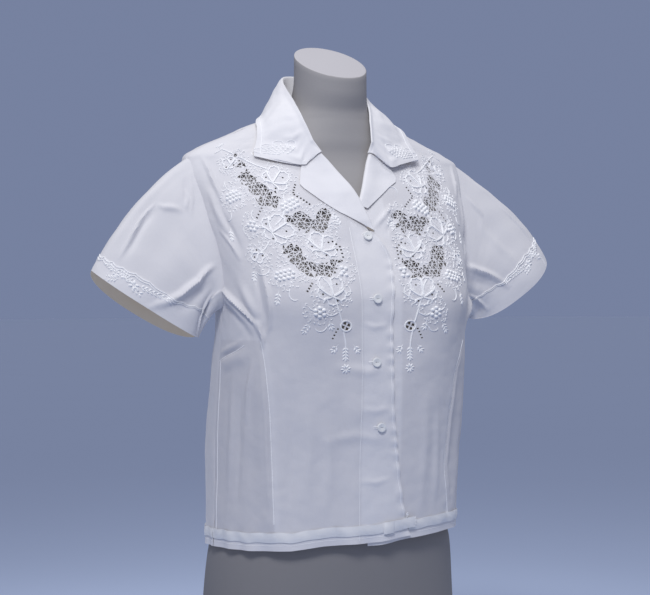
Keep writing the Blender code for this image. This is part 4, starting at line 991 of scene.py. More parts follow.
def embroider(relief, side, gaps):
    # everything raised on one front
    chance = np.random.default_rng(21 if side < 0 else 22)
    angles = np.linspace(0, 2 * math.pi, 89)[:-1]
    for x, run, size, turn in vineLeaves:
        rim = np.stack([np.cos(angles), np.sin(angles)], axis=1) * leafReach(angles, size)[:, None]
        brokenThread(relief, onFront(side, x, run, turn, rim), gaps, 0.0015, 0.0011, True)
        base = np.array([-0.30 * size, 0.0])
        for lobe in range(5):
            a = (lobe - 2) * 1.22
            tip = ray(a, 0.86 * size)
            bend = (base + tip) / 2 + np.array([0.04, 0.17 * np.sign(a)]) * size
            vein = smoothPath([base, bend, tip], 0.0012)
            brokenThread(relief, onFront(side, x, run, turn, vein), gaps, 0.0021, 0.0017)
            if size > 0.015:
                for share, lean in ((0.55, 0.9), (0.55, -0.9)):
                    start = base + (tip - base) * share
                    twig = np.linspace(start, start + ray(a + lean, 0.30 * size), 5)
                    brokenThread(relief, onFront(side, x, run, turn, twig), gaps, 0.0009, 0.0006)
    for x, run, halfLong, halfWide, slope in bunches:
        pitch = motifSet["grapePitch"]
        reach = int(halfLong / pitch) + 2
        for row in range(-reach, reach + 1):
            for column in range(-reach, reach + 1):
                u, v = (column + 0.5 * (row % 2)) * pitch, row * pitch * 0.87
                if (u / (halfLong - 0.001)) ** 2 + (v / (halfWide - 0.001)) ** 2 > 1:
                    continue
                place = onFront(side, x, run, slope, np.array([[u, v]]))[0]
                place = place + chance.uniform(-0.00035, 0.00035, 2)
                if awayFrom(place[None], gaps)[0] > 0.0028:
                    size = motifSet["grapeSize"] * chance.uniform(0.86, 1.04)
                    relief.dot(place, size, size * 0.94, chance.uniform(0, 3), motifSet["grapeHeight"])
    for x, run, length, turn, curl in tendrils:
        t = np.linspace(0, 1, 16)
        heading = turn + curl * t**1.4
        steps = np.stack([np.cos(heading), np.sin(heading)], axis=1)
        path = np.cumsum(steps, axis=0) * length / 16
        brokenThread(relief, list(path * (side, 1) + placed(side, x, run)), gaps, 0.0011, 0.0008)
    for stem in stems:
        path = smoothPath([placed(side, x, run) for x, run in stem])
        brokenThread(relief, list(path), gaps, 0.0014, 0.0010)
    for x, run, pairs, turn in sprigs:
        base = placed(side, x, run)
        heading = turn if side > 0 else math.pi - turn
        way = ray(heading)
        relief.thread([base + way * 0.0036 * i for i in range(pairs + 1)], 0.0010, 0.0007)
        spots = [(base + way * 0.0036 * i, heading + lean * 0.75)
                 for i in range(1, pairs + 1) for lean in (-1, 1)]
        for spot, out in spots + [(base + way * 0.0036 * (pairs + 0.2), heading)]:
            spot = spot + ray(out, 0.0028)
            if awayFrom(spot[None], gaps)[0] > 0.0026:
                relief.dot(spot, 0.0024, 0.0010, out, 0.0010)
    for petal in range(8):
        a = petal * math.pi / 4 + 0.2
        relief.dot(placed(side, 0.043, 0.396) + ray(a, 0.0034), 0.0026, 0.0010, a, 0.0011)
    for x, run, radius in wheels:
        rim = [placed(side, x, run) + ray(a, radius * 1.25) for a in angles[::4]]
        relief.thread(rim, 0.0015, 0.0010, closed=True)
    # small curls and knots close the ground between the larger forms
    ground = scatter(chance, side, motifSet["curlPitch"], 0.0010)
    covered = inLeaves(side, ground, 0.0018) | inBunches(side, ground, 0.0020)
    ground = ground[nearMotif(side, ground, 0.0090) & ~covered]
    ground = ground[awayFrom(ground, gaps) > 0.0034]
    for i, place in enumerate(ground):
        if i % 3 == 2:
            relief.dot(place, 0.0015, 0.0009, chance.uniform(0, 3), 0.0009, 6)
            continue
        start = chance.uniform(0, 2 * math.pi)
        radius = motifSet["curl"] * chance.uniform(0.75, 1.05)
        arc = [place + ray(start + a, radius) for a in np.linspace(0, 4.0, 8)]
        relief.thread(arc, 0.0009, 0.0008)


def buildFront(side):
    right = side < 0
    name = "frontRight" if right else "frontLeft"
    hem, neck, roll = (hemRight, neckRight, rollRight) if right else (hemLeft, neckLeft, rollLeft)
    step = frontSet["step"]
    if right:
        edge = [(x, run) for run, x in rightEdge]
    else:
        edge = [(frontSet["underlap"], 0.19), (frontSet["underlap"], 0.576)]
    edge[0] = (edge[0][0], float(between(hem, roundAt(edge[0][0], 0.19))))
    hemLine = hemPoints(hem, np.linspace(side * sideRound, roundAt(*edge[0]), 90))
    edgeLine = spaced([tuple(p) for p in smoothPath(flatLine(edge), 0.003)], step)
    setBack = [(x + side * frontSet["setBack"], run) for x, run in reversed(roll)]
    rollLine = spaced([tuple(p) for p in smoothPath(flatLine(setBack), 0.003)], step)
    neckLine = spaced(flatLine(list(reversed(neck))), step)
    seamRound = side * frontSet["shoulderRound"]
    shoulder = spaced([(seamRound, neck[0][1]), (seamRound, frontSet["armholeTop"])], step)
    armhole = armholeLine(side, 70, 0.0, math.pi)
    sideLine = spaced([(side * sideRound, frontSet["armholeBottom"]), hemLine[0]], step)
    outline = joined(hemLine, edgeLine, rollLine, neckLine, shoulder, armhole, sideLine)
    loops, gaps = cutLoops(side, 7 if right else 11)
    verts, faces = filled(outline, loops, step)
    lift = bodySet["under"] - pressed(verts, (sideLine, shoulder))
    if right:
        lift += frontRise(verts)
    points = bodyAt(verts, lift)
    x = ringPoints(bodyRings, verts[:, 0], verts[:, 1])[:, 0]
    facingEdge = -0.026 if right else 0.030
    dense = np.clip(side * (facingEdge - x) / 0.006 + 0.5, 0, 1) * np.where(verts[:, 1] < 0.60, 0.80, 0.0)
    dense = np.maximum(dense, np.where(verts[:, 1] < between(hem, verts[:, 0]) + 0.012, 0.6, 0.0))
    worked = nearMotif(side, verts, 0.0030) * 0.5 + nearMotif(side, verts, 0.0070) * 0.5
    dart = between(dartLines["right" if right else "left"], verts[:, 1])
    inwards = np.abs(dart) - np.abs(verts[:, 0])
    belowBust = verts[:, 1] < 0.43
    # painted shade: below the bust the side panels take a darker tone than the front, as they face away from
    # the light; a brighter strip runs just inside the dart seam
    paintedPanelShade = np.where((inwards < 0) & belowBust, 0.10, 0.36)
    paintedPanelShade += 0.16 * np.exp(-((inwards - 0.003) / 0.004) ** 2) * belowBust
    # painted light: the cloth grows lighter above run 0.60, where the shoulders catch the light from above
    high = np.clip((verts[:, 1] - 0.60) / 0.05, 0, 1)
    dense = np.maximum(dense * 0.9, np.maximum(paintedPanelShade + 0.22 * high, worked * 0.62))
    node = "front_right" if right else "front_left"
    made = clothPiece(name, node, points, faces, verts, dense, worked=worked)
    area = cutArea(verts, faces)
    outside = bodySet["under"] + bodySet["wall"]
    relief = Relief(bodyAt, lambda flat: outside + (frontRise(flat) if right else 0.0))
    embroider(relief, side, gaps)
    relief.piece("whitework" + ("Right" if right else "Left"))
    return area


frontAreas = [buildFront(-1), buildFront(1)]
print("fronts built, flat areas", frontAreas)


def buildBack():
    step = 0.0036
    low, high = sideRound, 3 * sideRound
    seamRound = frontSet["shoulderRound"]
    hemLine = hemPoints(hemBack, np.linspace(low, high, 130))
    far = [Vector((4 * sideRound + p.x, p.y)) for p in armholeLine(-1, 70, math.pi, 2 * math.pi)]
    near = armholeLine(1, 70, math.pi, 2 * math.pi)
    top, armTop, armLow = neckBack[-1][1], frontSet["armholeTop"], frontSet["armholeBottom"]
    farSeam = 4 * sideRound - seamRound
    farShoulder = spaced([(farSeam, armTop), (farSeam, top)], step)
    nearShoulder = spaced([(seamRound, armTop), (seamRound, top)], step)
    neck = [Vector((a, float(between(neckBack, abs(a - backRound)))))
            for a in np.linspace(farSeam, seamRound, 90)]
    upFar = spaced([hemLine[-1], (high, armLow)], step)
    downNear = spaced([(low, armLow), hemLine[0]], step)
    outline = joined(hemLine, upFar, far, farShoulder, neck, nearShoulder[::-1], near[::-1], downNear)
    verts, faces = filled(outline, [], step)
    lift = bodySet["under"] - pressed(verts, (upFar, farShoulder, nearShoulder, downNear))
    dense = np.where(verts[:, 1] < between(hemBack, verts[:, 0]) + 0.012, 0.6, 0.30)
    made = clothPiece("backCloth", "back", bodyAt(verts, lift), faces, verts, dense)
    area = cutArea(verts, faces)
    return area


print("back built, flat area", buildBack())

# sleeves
sleeveSet = {"round": 0.32, "long": 0.16, "depth": 0.033, "droop": 0.012, "columns": 250, "rows": 126,
             "cuffs": {"right": 1.0, "left": 0.90}}
sleeveHems = {"right": (-1, (0.314, 0.002, 0.510), (0.183, -0.004, 0.434)),
              "left": (1, (0.309, 0.002, 0.529), (0.196, 0.000, 0.454))}
sleeveFolds = [  # start turn, start run, end turn, end run, half width, height
    (0.37, 0.10, 0.42, 0.95, 0.010, -0.0060), (0.05, 0.15, 0.03, 0.95, 0.010, 0.0028),
    (0.20, 0.25, 0.20, 0.75, 0.016, -0.0020), (0.25, 0.35, 0.22, 0.95, 0.012, 0.0020),
    (0.72, 0.05, 0.75, 0.85, 0.010, 0.0045), (0.60, 0.15, 0.58, 0.80, 0.009, -0.0035),
]
sleeveCreases = {  # half width, height, places (turn, run)
    "right": [(0.0024, 0.0062, [(0.318, 0.06), (0.312, 0.25), (0.308, 0.43), (0.280, 0.70), (0.262, 0.82),
                                (0.230, 1.02)]),
              (0.0050, -0.0030, [(0.345, 0.16), (0.336, 0.44), (0.315, 0.68), (0.285, 0.90)]),
              (0.0018, 0.0030, [(0.098, 0.36), (0.090, 0.48), (0.098, 0.67), (0.098, 0.84)]),
              (0.0034, -0.0022, [(0.116, 0.38), (0.110, 0.50), (0.116, 0.68), (0.114, 0.82)]),
              (0.0026, 0.0024, [(0.102, 0.37), (0.130, 0.33), (0.158, 0.25), (0.176, 0.20)]),
              (0.0022, 0.0034, [(0.090, 0.02), (0.135, 0.05), (0.168, 0.09), (0.198, 0.16)]),
              (0.0026, -0.0020, [(0.100, 0.08), (0.140, 0.11), (0.172, 0.16)]),
              (0.0022, 0.0028, [(0.135, 0.10), (0.160, 0.12), (0.180, 0.18)]),
              (0.0024, 0.0042, [(0.380, 0.20), (0.384, 0.50), (0.405, 0.80), (0.430, 1.00)]),
              (0.0036, -0.0034, [(0.400, 0.25), (0.405, 0.55), (0.425, 0.85)]),
              (0.0040, 0.0016, [(0.930, 0.05), (0.940, 0.40), (0.960, 0.80)]),
              (0.0050, 0.0020, [(0.820, 0.10), (0.830, 0.45), (0.800, 0.85)])],
    "left": [(0.0024, 0.0056, [(0.320, 0.04), (0.304, 0.34), (0.272, 0.71), (0.262, 0.84)]),
             (0.0050, -0.0030, [(0.345, 0.10), (0.330, 0.40), (0.298, 0.74)]),
             (0.0024, 0.0034, [(0.395, 0.20), (0.380, 0.50), (0.365, 0.90)]),
             (0.0022, 0.0026, [(0.150, 0.03), (0.158, 0.14), (0.170, 0.26)]),
             (0.0040, 0.0018, [(0.204, 0.20), (0.212, 0.50), (0.205, 0.80)]),
             (0.0018, 0.0018, [(0.080, 0.40), (0.078, 0.60), (0.084, 0.84)]),
             (0.0040, 0.0016, [(0.930, 0.08), (0.945, 0.42), (0.955, 0.78)]),
             (0.0050, 0.0020, [(0.820, 0.12), (0.835, 0.50), (0.805, 0.85)])],
}


class Grid:
    # a cloth surface held as close rows of points, read at any place between them
    def __init__(self, points, closed, flip):
        self.points, self.closed = points, closed
        if closed:
            across = np.roll(points, -1, axis=1) - np.roll(points, 1, axis=1)
        else:
            across = np.gradient(points, axis=1)
        normal = np.cross(across, np.gradient(points, axis=0)) * flip
        self.normals = normal / np.maximum(np.linalg.norm(normal, axis=2), 1e-9)[..., None]

    def read(self, table, column, row):
        rows, columns = table.shape[:2]
        column = np.mod(column, columns) if self.closed else np.clip(column, 0, columns - 1.0001)
        row = np.clip(row, 0, rows - 1.0001)
        c, r = column.astype(int), row.astype(int)
        d = (c + 1) % columns
        u, v = (column - c)[:, None], (row - r)[:, None]
        top = table[r, c] * (1 - u) + table[r, d] * u
        return top * (1 - v) + (table[r + 1, c] * (1 - u) + table[r + 1, d] * u) * v

    def at(self, column, row, lift):
        outwards = self.read(self.normals, column, row)
        return self.read(self.points, column, row) + outwards * np.reshape(lift, (-1, 1))


def buildSleeve(sideName):
    side, outer, inner = sleeveHems[sideName]
    columns, rows = sleeveSet["columns"], sleeveSet["rows"]
    turns = np.arange(columns) / columns
    armhole = armholeLine(side, columns, 0.0, 2 * math.pi)[:-1]
    flat = np.array([tuple(p) for p in armhole])
    under = (1 - np.cos(2 * math.pi * turns)) / 2
    start = bodyAt(flat, bodySet["under"] - 0.0006 + 0.0008 * (1 - under) ** 6)
    outer = np.array((side * outer[0], outer[1], outer[2]))
    inner = np.array((side * inner[0], inner[1], inner[2]))
    cosine, sine = np.cos(2 * math.pi * turns), np.sin(2 * math.pi * turns)
    wide = np.sign(cosine) * np.abs(cosine) ** 0.85
    end = (outer + inner) / 2 + wide[:, None] * (outer - inner) / 2
    end[:, 1] -= sleeveSet["depth"] * sine
    end[:, 2] -= sleeveSet["droop"] * np.abs(sine)
    length = np.linalg.norm(end - start, axis=1)[:, None]
    topWay, underWay = np.array((side * 0.84, -0.04, -0.54)), np.array((side * 0.97, 0.0, -0.25))
    first = (topWay * (1 - under)[:, None] + underWay * under[:, None]) * length
    last = np.array((side * 0.50, -0.02, -0.86)) * length
    rings = []
    for t in np.linspace(0, 1, rows):
        h0, h1 = (1 + 2 * t) * (1 - t) ** 2, t * (1 - t) ** 2
        h2, h3 = t * t * (3 - 2 * t), t * t * (t - 1)
        rings.append(h0 * start + h1 * first + h2 * end + h3 * last)
    plain = Grid(np.array(rings), True, side)
    t = np.repeat(np.linspace(0, 1, rows)[:, None], columns, axis=1)
    turn = np.repeat(turns[None], rows, axis=0)
    across, along = turn * sleeveSet["round"], t * sleeveSet["long"]
    height = np.zeros_like(t)
    size = (sleeveSet["round"], sleeveSet["long"])
    for a0, t0, a1, t1, width, rise in sleeveFolds:
        height += pathHeight(across, along, np.array([(a0, t0), (a1, t1)]) * size, width, rise)
    for width, rise, path in sleeveCreases[sideName]:
        height += pathHeight(across, along, np.array(path) * size, width, rise, 0.0)
    acrossBump = np.cos(2 * math.pi * turn) * 0.05 + side
    alongBump = np.sin(2 * math.pi * turn) * 0.05 + along
    bumps = crumple(acrossBump.ravel(), alongBump.ravel(), 0.03, 5.0)
    height += bumps.reshape(t.shape) * 0.0011 + 0.0007 * np.exp(-(along / 0.006) ** 2) * np.sin(turn * 190)
    height *= np.clip(t * 5, 0, 1)
    shaped = Grid(plain.points + plain.normals * height[..., None], True, side)
    flatPlace = np.stack([across, along], axis=2).reshape(-1, 2)
    cuff = sleeveCuff(turn) * sleeveSet["cuffs"][sideName]
    dense = np.where(along > cuff, 0.72, 0.50).ravel()
    points = shaped.points.reshape(-1, 3)
    faces = gridFaces(rows, columns, True)
    name = "sleeve" + sideName.capitalize()
    made = clothPiece(name, "sleeve_" + sideName, points, faces, flatPlace, dense, turned=side < 0)
    girth = float(np.linalg.norm(np.diff(shaped.points[rows // 2], axis=0), axis=1).sum())
    reach = float(np.linalg.norm(np.diff(shaped.points, axis=0), axis=2).sum(axis=0).mean())

    def surface(place, lift):
        return shaped.at(place[:, 0] / size[0] * columns, place[:, 1] / size[1] * (rows - 1), lift)

    relief = Relief(surface, bodySet["wall"])
    scallops = 24
    for shift, width in ((0.0, 0.0013), (0.0030, 0.0010)):
        at = np.linspace(0, 1, scallops * 12 + 1)[:-1]
        dip = 0.0022 * np.abs(np.sin(math.pi * scallops * at))
        line = sleeveCuff(at) * sleeveSet["cuffs"][sideName] + shift + dip
        path = np.stack([at * sleeveSet["round"], line], axis=1)
        relief.thread(np.vstack([path, path[:1] + (sleeveSet["round"], 0.0)]), width, 0.0009, taper=False)
    for middle in (0.145, 0.855):
        low = float(sleeveCuff(middle)) * sleeveSet["cuffs"][sideName] + 0.0085
        sleeveMotif(relief, np.array([middle * sleeveSet["round"], low]), 1 if middle < 0.5 else -1)
    for row in range(11):
        mark = np.array([0.088 * sleeveSet["round"], sleeveSet["long"] - 0.020 + row * 0.0018])
        relief.thread([mark + (0, 0.0002), mark + (0.0002, 0.0011)], 0.0008, 0.0006, taper=False)
    relief.piece("whiteworkSleeve" + sideName.capitalize())
    return girth, reach


def sleeveCuff(turns):
    # how far down the sleeve the scalloped line of its cuff runs at each turn
    share = (1 - np.cos(2 * math.pi * np.asarray(turns))) / 2
    return sleeveSet["long"] * np.interp(share, (0.0, 0.13, 0.30, 0.55, 0.70, 0.86, 1.0),
                                         (0.885, 0.860, 0.820, 0.790, 0.700, 0.560, 0.500))


def sleeveMotif(relief, centre, way):
    # one spray of a wide open leaf, knots, petals and two sprigs
    for lobe in range(7):
        a = 0.5 + lobe * 0.36
        lean = math.pi - a if way < 0 else a
        for reach in (0.0036, 0.0062, 0.0088):
            relief.dot(centre + ray(-lean, reach) + (0, 0.0045), 0.0017, 0.0009, -lean, 0.0010, 6)
    for petal in range(6):
        a = petal * math.pi / 3 + 0.3
        relief.dot(centre + (way * 0.010, 0.002) + ray(a, 0.0034), 0.0027, 0.0013, a, 0.0013)
        relief.dot(centre + (way * -0.010, 0.003) + ray(a, 0.0026), 0.0020, 0.0010, a, 0.0011)
    for start, heading, pairs in (((0.013, 0.000), -0.42, 7), ((-0.011, 0.002), math.pi + 0.1, 4),
                                  ((0.006, 0.006), 0.0, 3), ((-0.004, 0.006), math.pi - 0.5, 3)):
        heading = heading if way > 0 else math.pi - heading
        ahead = ray(heading)
        start = centre + np.array([start[0] * way, start[1]])
        relief.thread([start + ahead * 0.0034 * i for i in range(pairs + 1)], 0.0010, 0.0008)
        for i in range(1, pairs + 1):
            for lean in (-1, 1):
                out = heading + lean * 0.8
                spot = start + ahead * 0.0034 * i + ray(out, 0.0025)
                relief.dot(spot, 0.0021, 0.0010, out, 0.0011, 6)


sleeveSizes = [buildSleeve("right"), buildSleeve("left")]
print("sleeves built", sleeveSizes)

# lapels
lapelSet = {"base": 0.00235, "rise": 0.0030, "reach": 0.011, "rows": 72, "across": 34, "foldSteps": 10,
            "back": 0.0062}


def evenly(points, count):
    points = np.asarray([tuple(p) for p in points], float)
    lengths = lengthsAlong(points)
    at = np.linspace(0, lengths[-1], count)
    return np.stack([np.interp(at, lengths, points[:, k]) for k in range(2)], axis=1)


def lapelLines(side):
    # the roll and the outer edge of one lapel, from the top down, in flat places
    roll = smoothPath(flatLine(rollRight if side < 0 else rollLeft), 0.002)
    edge = flatLine(list(reversed(lapelRightEdge if side < 0 else lapelLeftEdge)))
    return evenly(roll, lapelSet["rows"]), evenly(edge, lapelSet["rows"])


def lapelFold():
    return (lapelSet["rise"] + lapelSet["base"] - bodySet["under"]) / 2


# collar
collarStations = np.array([  # seam round, seam run, roll x, roll y, roll z, edge round, edge run
    (0.459, 0.788, 0.000, 0.069, 0.751, 0.459, 0.745),
    (0.400, 0.787, 0.026, 0.063, 0.750, 0.412, 0.746),
    (0.340, 0.785, 0.044, 0.045, 0.745, 0.342, 0.753),
    (0.270, 0.783, 0.052, 0.019, 0.731, 0.252, 0.762),
    (0.168, 0.779, 0.050, -0.007, 0.712, 0.180, 0.735),
    (0.160, 0.745, 0.0450, -0.028, 0.690, 0.138, 0.694),
    (0.118, 0.700, 0.0395, -0.042, 0.665, 0.1095, 0.650),
])
collarSet = {"columns": 17, "neckStation": 4.0, "topRun": 0.7785, "runStep": 0.048, "lowRun": 0.668,
             "inset": 0.0011, "skew": 0.0085, "foldRadius": 0.0022, "notchBow": 0.025, "fineColumns": 240,
             "fineRows": 70, "rollSkewRight": (-0.0085, 0.0), "rollSkewLeft": (-0.0115, -0.0065),
             "overLapel": 0.0030, "standStart": 0.0011, "overRows": 5, "endColumns": 12,
             "columnStep": 0.0017, "rowStep": 0.0012}


def restingOn(points, clearance):
    # moves points out to at least this height above the body's own face
    around, run = np.meshgrid(np.linspace(0, 4 * sideRound, 260), np.linspace(0.60, 0.79, 80))
    flat = np.column_stack([around.ravel(), run.ravel()])
    surface = bodyAt(flat, 0.0, fine=False)
    normal = ringNormals(bodyRings, flat[:, 0], flat[:, 1])
    moved = []
    for point in points:
        nearest = np.argmin(np.sum((surface - point) ** 2, axis=1))
        height = float((point - surface[nearest]) @ normal[nearest])
        moved.append(point + normal[nearest] * max(0.0, clearance - height))
    return moved


def refined(rows, count):
    # more rows through the given ones
    table = np.column_stack([np.arange(len(rows)), rows])
    return readRows(table, np.linspace(0, len(rows) - 1, count))[:, 1:]


def collarEnd(start, side):
    # carries one end of the collar down the roll until it lies over the lapel's top
    last = len(start) - 1
    crest, fall = round(0.30 * last), round(0.40 * last)
    roll, edge = lapelLines(side)
    row = collarSet["overRows"]
    across = roll[row] - edge[row]
    way = across / np.linalg.norm(across)
    fold = lapelFold() + 0.0010
    share = np.clip((np.arange(fall, last + 1) - fall) / (last - fall), 0, 1)
    away = share * np.linalg.norm(across)
    flat = roll[row] - way * away[:, None]
    lift = lapelSet["base"] + lapelSet["rise"] * np.exp(-(away / lapelSet["reach"]) ** 2) + 0.0018
    laid = bodyAt(flat, lift)
    top = bodyAt([roll[row] + way * fold], [(lift[0] + bodySet["under"]) / 2])[0]
    moves = np.zeros_like(start)
    moves[fall:] = (laid - start[fall:]) * np.clip((1 - share) / 0.30, 0, 1)[:, None]
    moves[crest] = top - start[crest]
    for i in range(crest + 1, fall):
        t = (i - crest) / (fall - crest)
        moves[i] = moves[crest] * (1 - t) + moves[fall] * t
    moves[:crest] = moves[crest] * ((np.arange(crest) / crest) ** 2)[:, None]
    steps = np.arange(1, collarSet["endColumns"] + 1) / collarSet["endColumns"]
    return start[:, None] + moves[:, None] * steps[None, :, None]


def buildCollar():
    half = collarStations
    mirrored = half[:0:-1].copy()
    mirrored[:, [0, 5]] = 4 * sideRound - mirrored[:, [0, 5]]
    mirrored[:, 2] *= -1
    stations = np.vstack([mirrored, half])
    last = len(stations) - 1
    spread = last / 2 * (np.arange(collarSet["columns"] + 1) / collarSet["columns"]) ** 0.7
    at = np.concatenate([last / 2 - spread[:0:-1], last / 2 + spread])
    table = readRows(np.column_stack([np.arange(len(stations)), stations]), at)
    _, seamRound, seamRun, rollX, rollY, rollZ, edgeRound, edgeRun = table.T
    edgeRound = edgeRound - collarSet["skew"] * np.clip(1 - np.minimum(at, at[-1] - at) / 2.5, 0, 1)
    for i, place in enumerate(at):
        side = 1 if place > last / 2 else -1
        rollSkew = collarSet["rollSkewLeft" if side > 0 else "rollSkewRight"]
        share = np.clip(1.5 - 0.5 * min(place, last - place), 0, 1)
        rollX[i] += rollSkew[0] * share
        rollY[i] += rollSkew[1] * share
        beyond = abs(place - last / 2) - collarSet["neckStation"]
        if beyond > 0:
            seamRun[i] = max(collarSet["topRun"] - beyond * collarSet["runStep"], collarSet["lowRun"])
            neckX = float(between([(r, x) for x, r in (neckLeft if side > 0 else neckRight)], seamRun[i]))
            seamRound[i] = roundAt(neckX - side * collarSet["inset"], seamRun[i])
            seamRound[i] += 0 if side > 0 else 4 * sideRound
    seam = bodyAt(np.column_stack([seamRound, seamRun]), 0.0002, fine=False)
    edge = bodyAt(np.column_stack([edgeRound, edgeRun]), bodySet["layer"], fine=False)
    bodyOut = ringNormals(bodyRings, edgeRound, edgeRun)
    radius = collarSet["foldRadius"]
    columns = []
    for i, place in enumerate(at):
        nearEnd = max(0.0, 1 - min(place, last - place) / 1.2)
        left = place > last / 2
        start, roll, end = Vector(seam[i]), Vector((rollX[i], rollY[i], rollZ[i])), Vector(edge[i])
        start.z += collarSet["standStart"]
        out = end - roll
        out.z = 0.0
        out.normalize()
        fold = roll + out * radius
        top = roll + Vector((0, 0, radius * 0.8)) + out * radius * 0.5
        column = [start, start.lerp(roll, 0.5), start.lerp(roll, 0.9), top]
        fallStart = fold + out * radius * 1.2 - Vector((0, 0, 0.002))
        for share in (0.0, 0.14, 0.28, 0.46, 0.64, 0.82, 1.0):
            point = fallStart.lerp(end, share)
            point += Vector(bodyOut[i]) * math.sin(math.pi * share) * 0.003 * (1 - nearEnd)
            dip = collarSet["notchBow"] * nearEnd**1.5 * float(np.interp(share, [0.0, 0.28, 1.0], [0, 1, 0]))
            column.append(point + Vector((0.0 if left else 0.18, -0.35, -0.94)) * dip)
        column = [np.array(p) for p in column]
        clearance = bodySet["layer"] + 0.0030 + (collarSet["overLapel"] * nearEnd if left else 0.0)
        column[5:] = restingOn(column[5:], clearance)
        columns.append(np.array(column))
    columns = np.array(columns)
    fine = np.array([refined(column, collarSet["fineRows"]) for column in columns])
    fine = np.array([refined(fine[:, r], collarSet["fineColumns"]) for r in range(collarSet["fineRows"])])
    fine = np.concatenate([collarEnd(fine[:, 0], -1)[:, ::-1], fine, collarEnd(fine[:, -1], 1)], axis=1)
    grid = Grid(fine, False, 1)
    rows, count = fine.shape[:2]
    row, column = np.meshgrid(np.arange(rows), np.arange(count), indexing="ij")
    bumps = crumple(column.ravel() * 0.0022, row.ravel() * 0.0018, 0.020, 12.0).reshape(rows, count)
    ease = np.clip((row - 24) / 12.0, 0, 1) * np.clip((rows - 1 - row) / 8.0, 0, 1)
    pulled = np.zeros_like(bumps)
    for near, far, sway, wide in ((3, 34, 46, 2.2), (10, 33, 52, 2.6), (18, 32, 44, 2.4)):
        for middle in (near + collarSet["endColumns"], count - 1 - near - collarSet["endColumns"]):
            lean = middle + (row - far) * 0.10 * (1 if middle < count / 2 else -1)
            pulled += np.exp(-((column - lean) / wide) ** 2) * np.exp(-((row - (far + sway) / 2) / 7.0) ** 2)
    fine = grid.points + grid.normals * ((bumps * 0.0011 + pulled * 0.0016) * ease + 0.0006)[..., None]
    grid = Grid(fine, False, 1)
    flat = np.column_stack([column.ravel() * 0.0022, row.ravel() * 0.0018])
    faces = gridFaces(rows, count)
    made = clothPiece("collarCloth", "collar", fine.reshape(-1, 3), faces, flat, np.ones(len(flat)) * 0.9)
    return grid


collarGrid = buildCollar()
print("collar built")


def collarSurface(place, lift):
    # places are (from the wearer's right end, up from the outer edge) in metres of cloth
    rows = collarGrid.points.shape[0]
    column = collarSet["endColumns"] + place[:, 0] / collarSet["columnStep"]
    return collarGrid.at(column, rows - 1 - place[:, 1] / collarSet["rowStep"], lift)


def buildCollarWork():
    # a small spread leaf near each corner, with rows of dashes and a scalloped end
    relief = Relief(collarSurface, bodySet["wall"])
    length = collarSet["fineColumns"] * collarSet["columnStep"]
    for end in (0, 1):
        way = 1 if end == 0 else -1
        corner = np.array([0.0 if end == 0 else length, 0.0])
        heart = corner + (way * 0.008, 0.023)
        for row, reach in enumerate((0.0045, 0.0080, 0.0115, 0.0150)):
            for i in range(4 + row * 2):
                a = -0.7 + i * 2.3 / (3 + row * 2)
                spot = heart + ray(-a, reach) * (way, 1)
                relief.dot(spot, 0.0018, 0.0008, -a if way > 0 else math.pi + a, 0.0008, 6)
        for lobe in range(4):
            a = -0.45 + lobe * 0.62
            middle = heart + ray(-a, 0.0190) * (way, 1)
            rim = [middle + ray(-b, 0.0046) * (way, 1) for b in np.linspace(a - 1.9, a + 1.9, 14)]
            relief.thread(rim, 0.0009, 0.0005)
        for i in range(7):
            a = -0.6 + i * 0.33
            line = [heart + ray(-a, r) * (way, 1) for r in np.linspace(0.012, 0.020, 4)]
            relief.thread(line, 0.0008, 0.0005)
    edge = [(x, 0.0050) for x in np.linspace(0.004, length - 0.004, 260)]
    relief.thread(edge, 0.0006, 0.0003, taper=False)
    relief.piece("whiteworkCollar")


buildCollarWork()


def buildLapel(side):
    right = side < 0
    rows = lapelSet["rows"]
    rollLine, edgeLine = lapelLines(side)
    flat, lift = [], []
    base, fold = lapelSet["base"], lapelFold()
    for i in range(rows):
        way = rollLine[i] - edgeLine[i]
        width = np.linalg.norm(way)
        way = way / max(width, 1e-6)
        small = min(1.0, width / 0.012)
        for s in np.linspace(0, 1, lapelSet["across"]):
            away = width * (1 - s)
            flat.append(edgeLine[i] + (rollLine[i] - edgeLine[i]) * s)
            lift.append(base + lapelSet["rise"] * small * math.exp(-(away / lapelSet["reach"]) ** 2))
        for k in range(1, lapelSet["foldSteps"] + 1):
            a = math.pi * k / lapelSet["foldSteps"]
            half = (lift[-k] - bodySet["under"]) / 2 if k == 1 else half
            flat.append(rollLine[i] + way * fold * small * math.sin(a))
            lift.append(bodySet["under"] + half * (1 + math.cos(a)))
        flat.append(rollLine[i] - way * lapelSet["back"] * small)
        lift.append(bodySet["under"] - 0.0002)
    flat, lift = np.array(flat), np.array(lift)
    if right:
        lift = lift + frontRise(flat)
    columns = lapelSet["across"] + lapelSet["foldSteps"] + 1
    points = bodyAt(flat, lift)
    faces = gridFaces(rows, columns)
    name, node = ("lapelRight", "lapel_right") if right else ("lapelLeft", "lapel_left")
    made = clothPiece(name, node, points, faces, flat, np.ones(len(flat)) * 0.9, turned=right)


buildLapel(-1)
buildLapel(1)
print("lapels built")

# tape above the hem
tapeSet = {"above": 0.0100, "width": 0.0112, "thick": 0.0007, "level": 0.200, "tab": (0.0046, 0.0180),
           "end": (0.0184, 0.0470)}


def tapeStrip(name, node, rounds, low, width, lift, ripple, thick):
    rows = 9
    rounds = np.asarray(rounds)
    sway = ripple * (np.sin(rounds * 210) + 0.6 * np.sin(rounds * 93 + 1))
    flat, lifts = [], []
    for j in range(rows):
        share = j / (rows - 1)
        flat.append(np.column_stack([rounds, low + sway + width * share]))
        waves = 0.0005 * np.sin(rounds * 260 + share * 2) * share
        lifts.append(lift + 0.0006 * math.sin(math.pi * share) + waves)
    flat, lifts = np.vstack(flat), np.concatenate(lifts)
    made = pieceFrom(name, bodyAt(flat, lifts), gridFaces(rows, len(rounds)), [twillTape], flat)
    walled(made, thick)
    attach(made, "root")
    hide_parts(node)
    return made


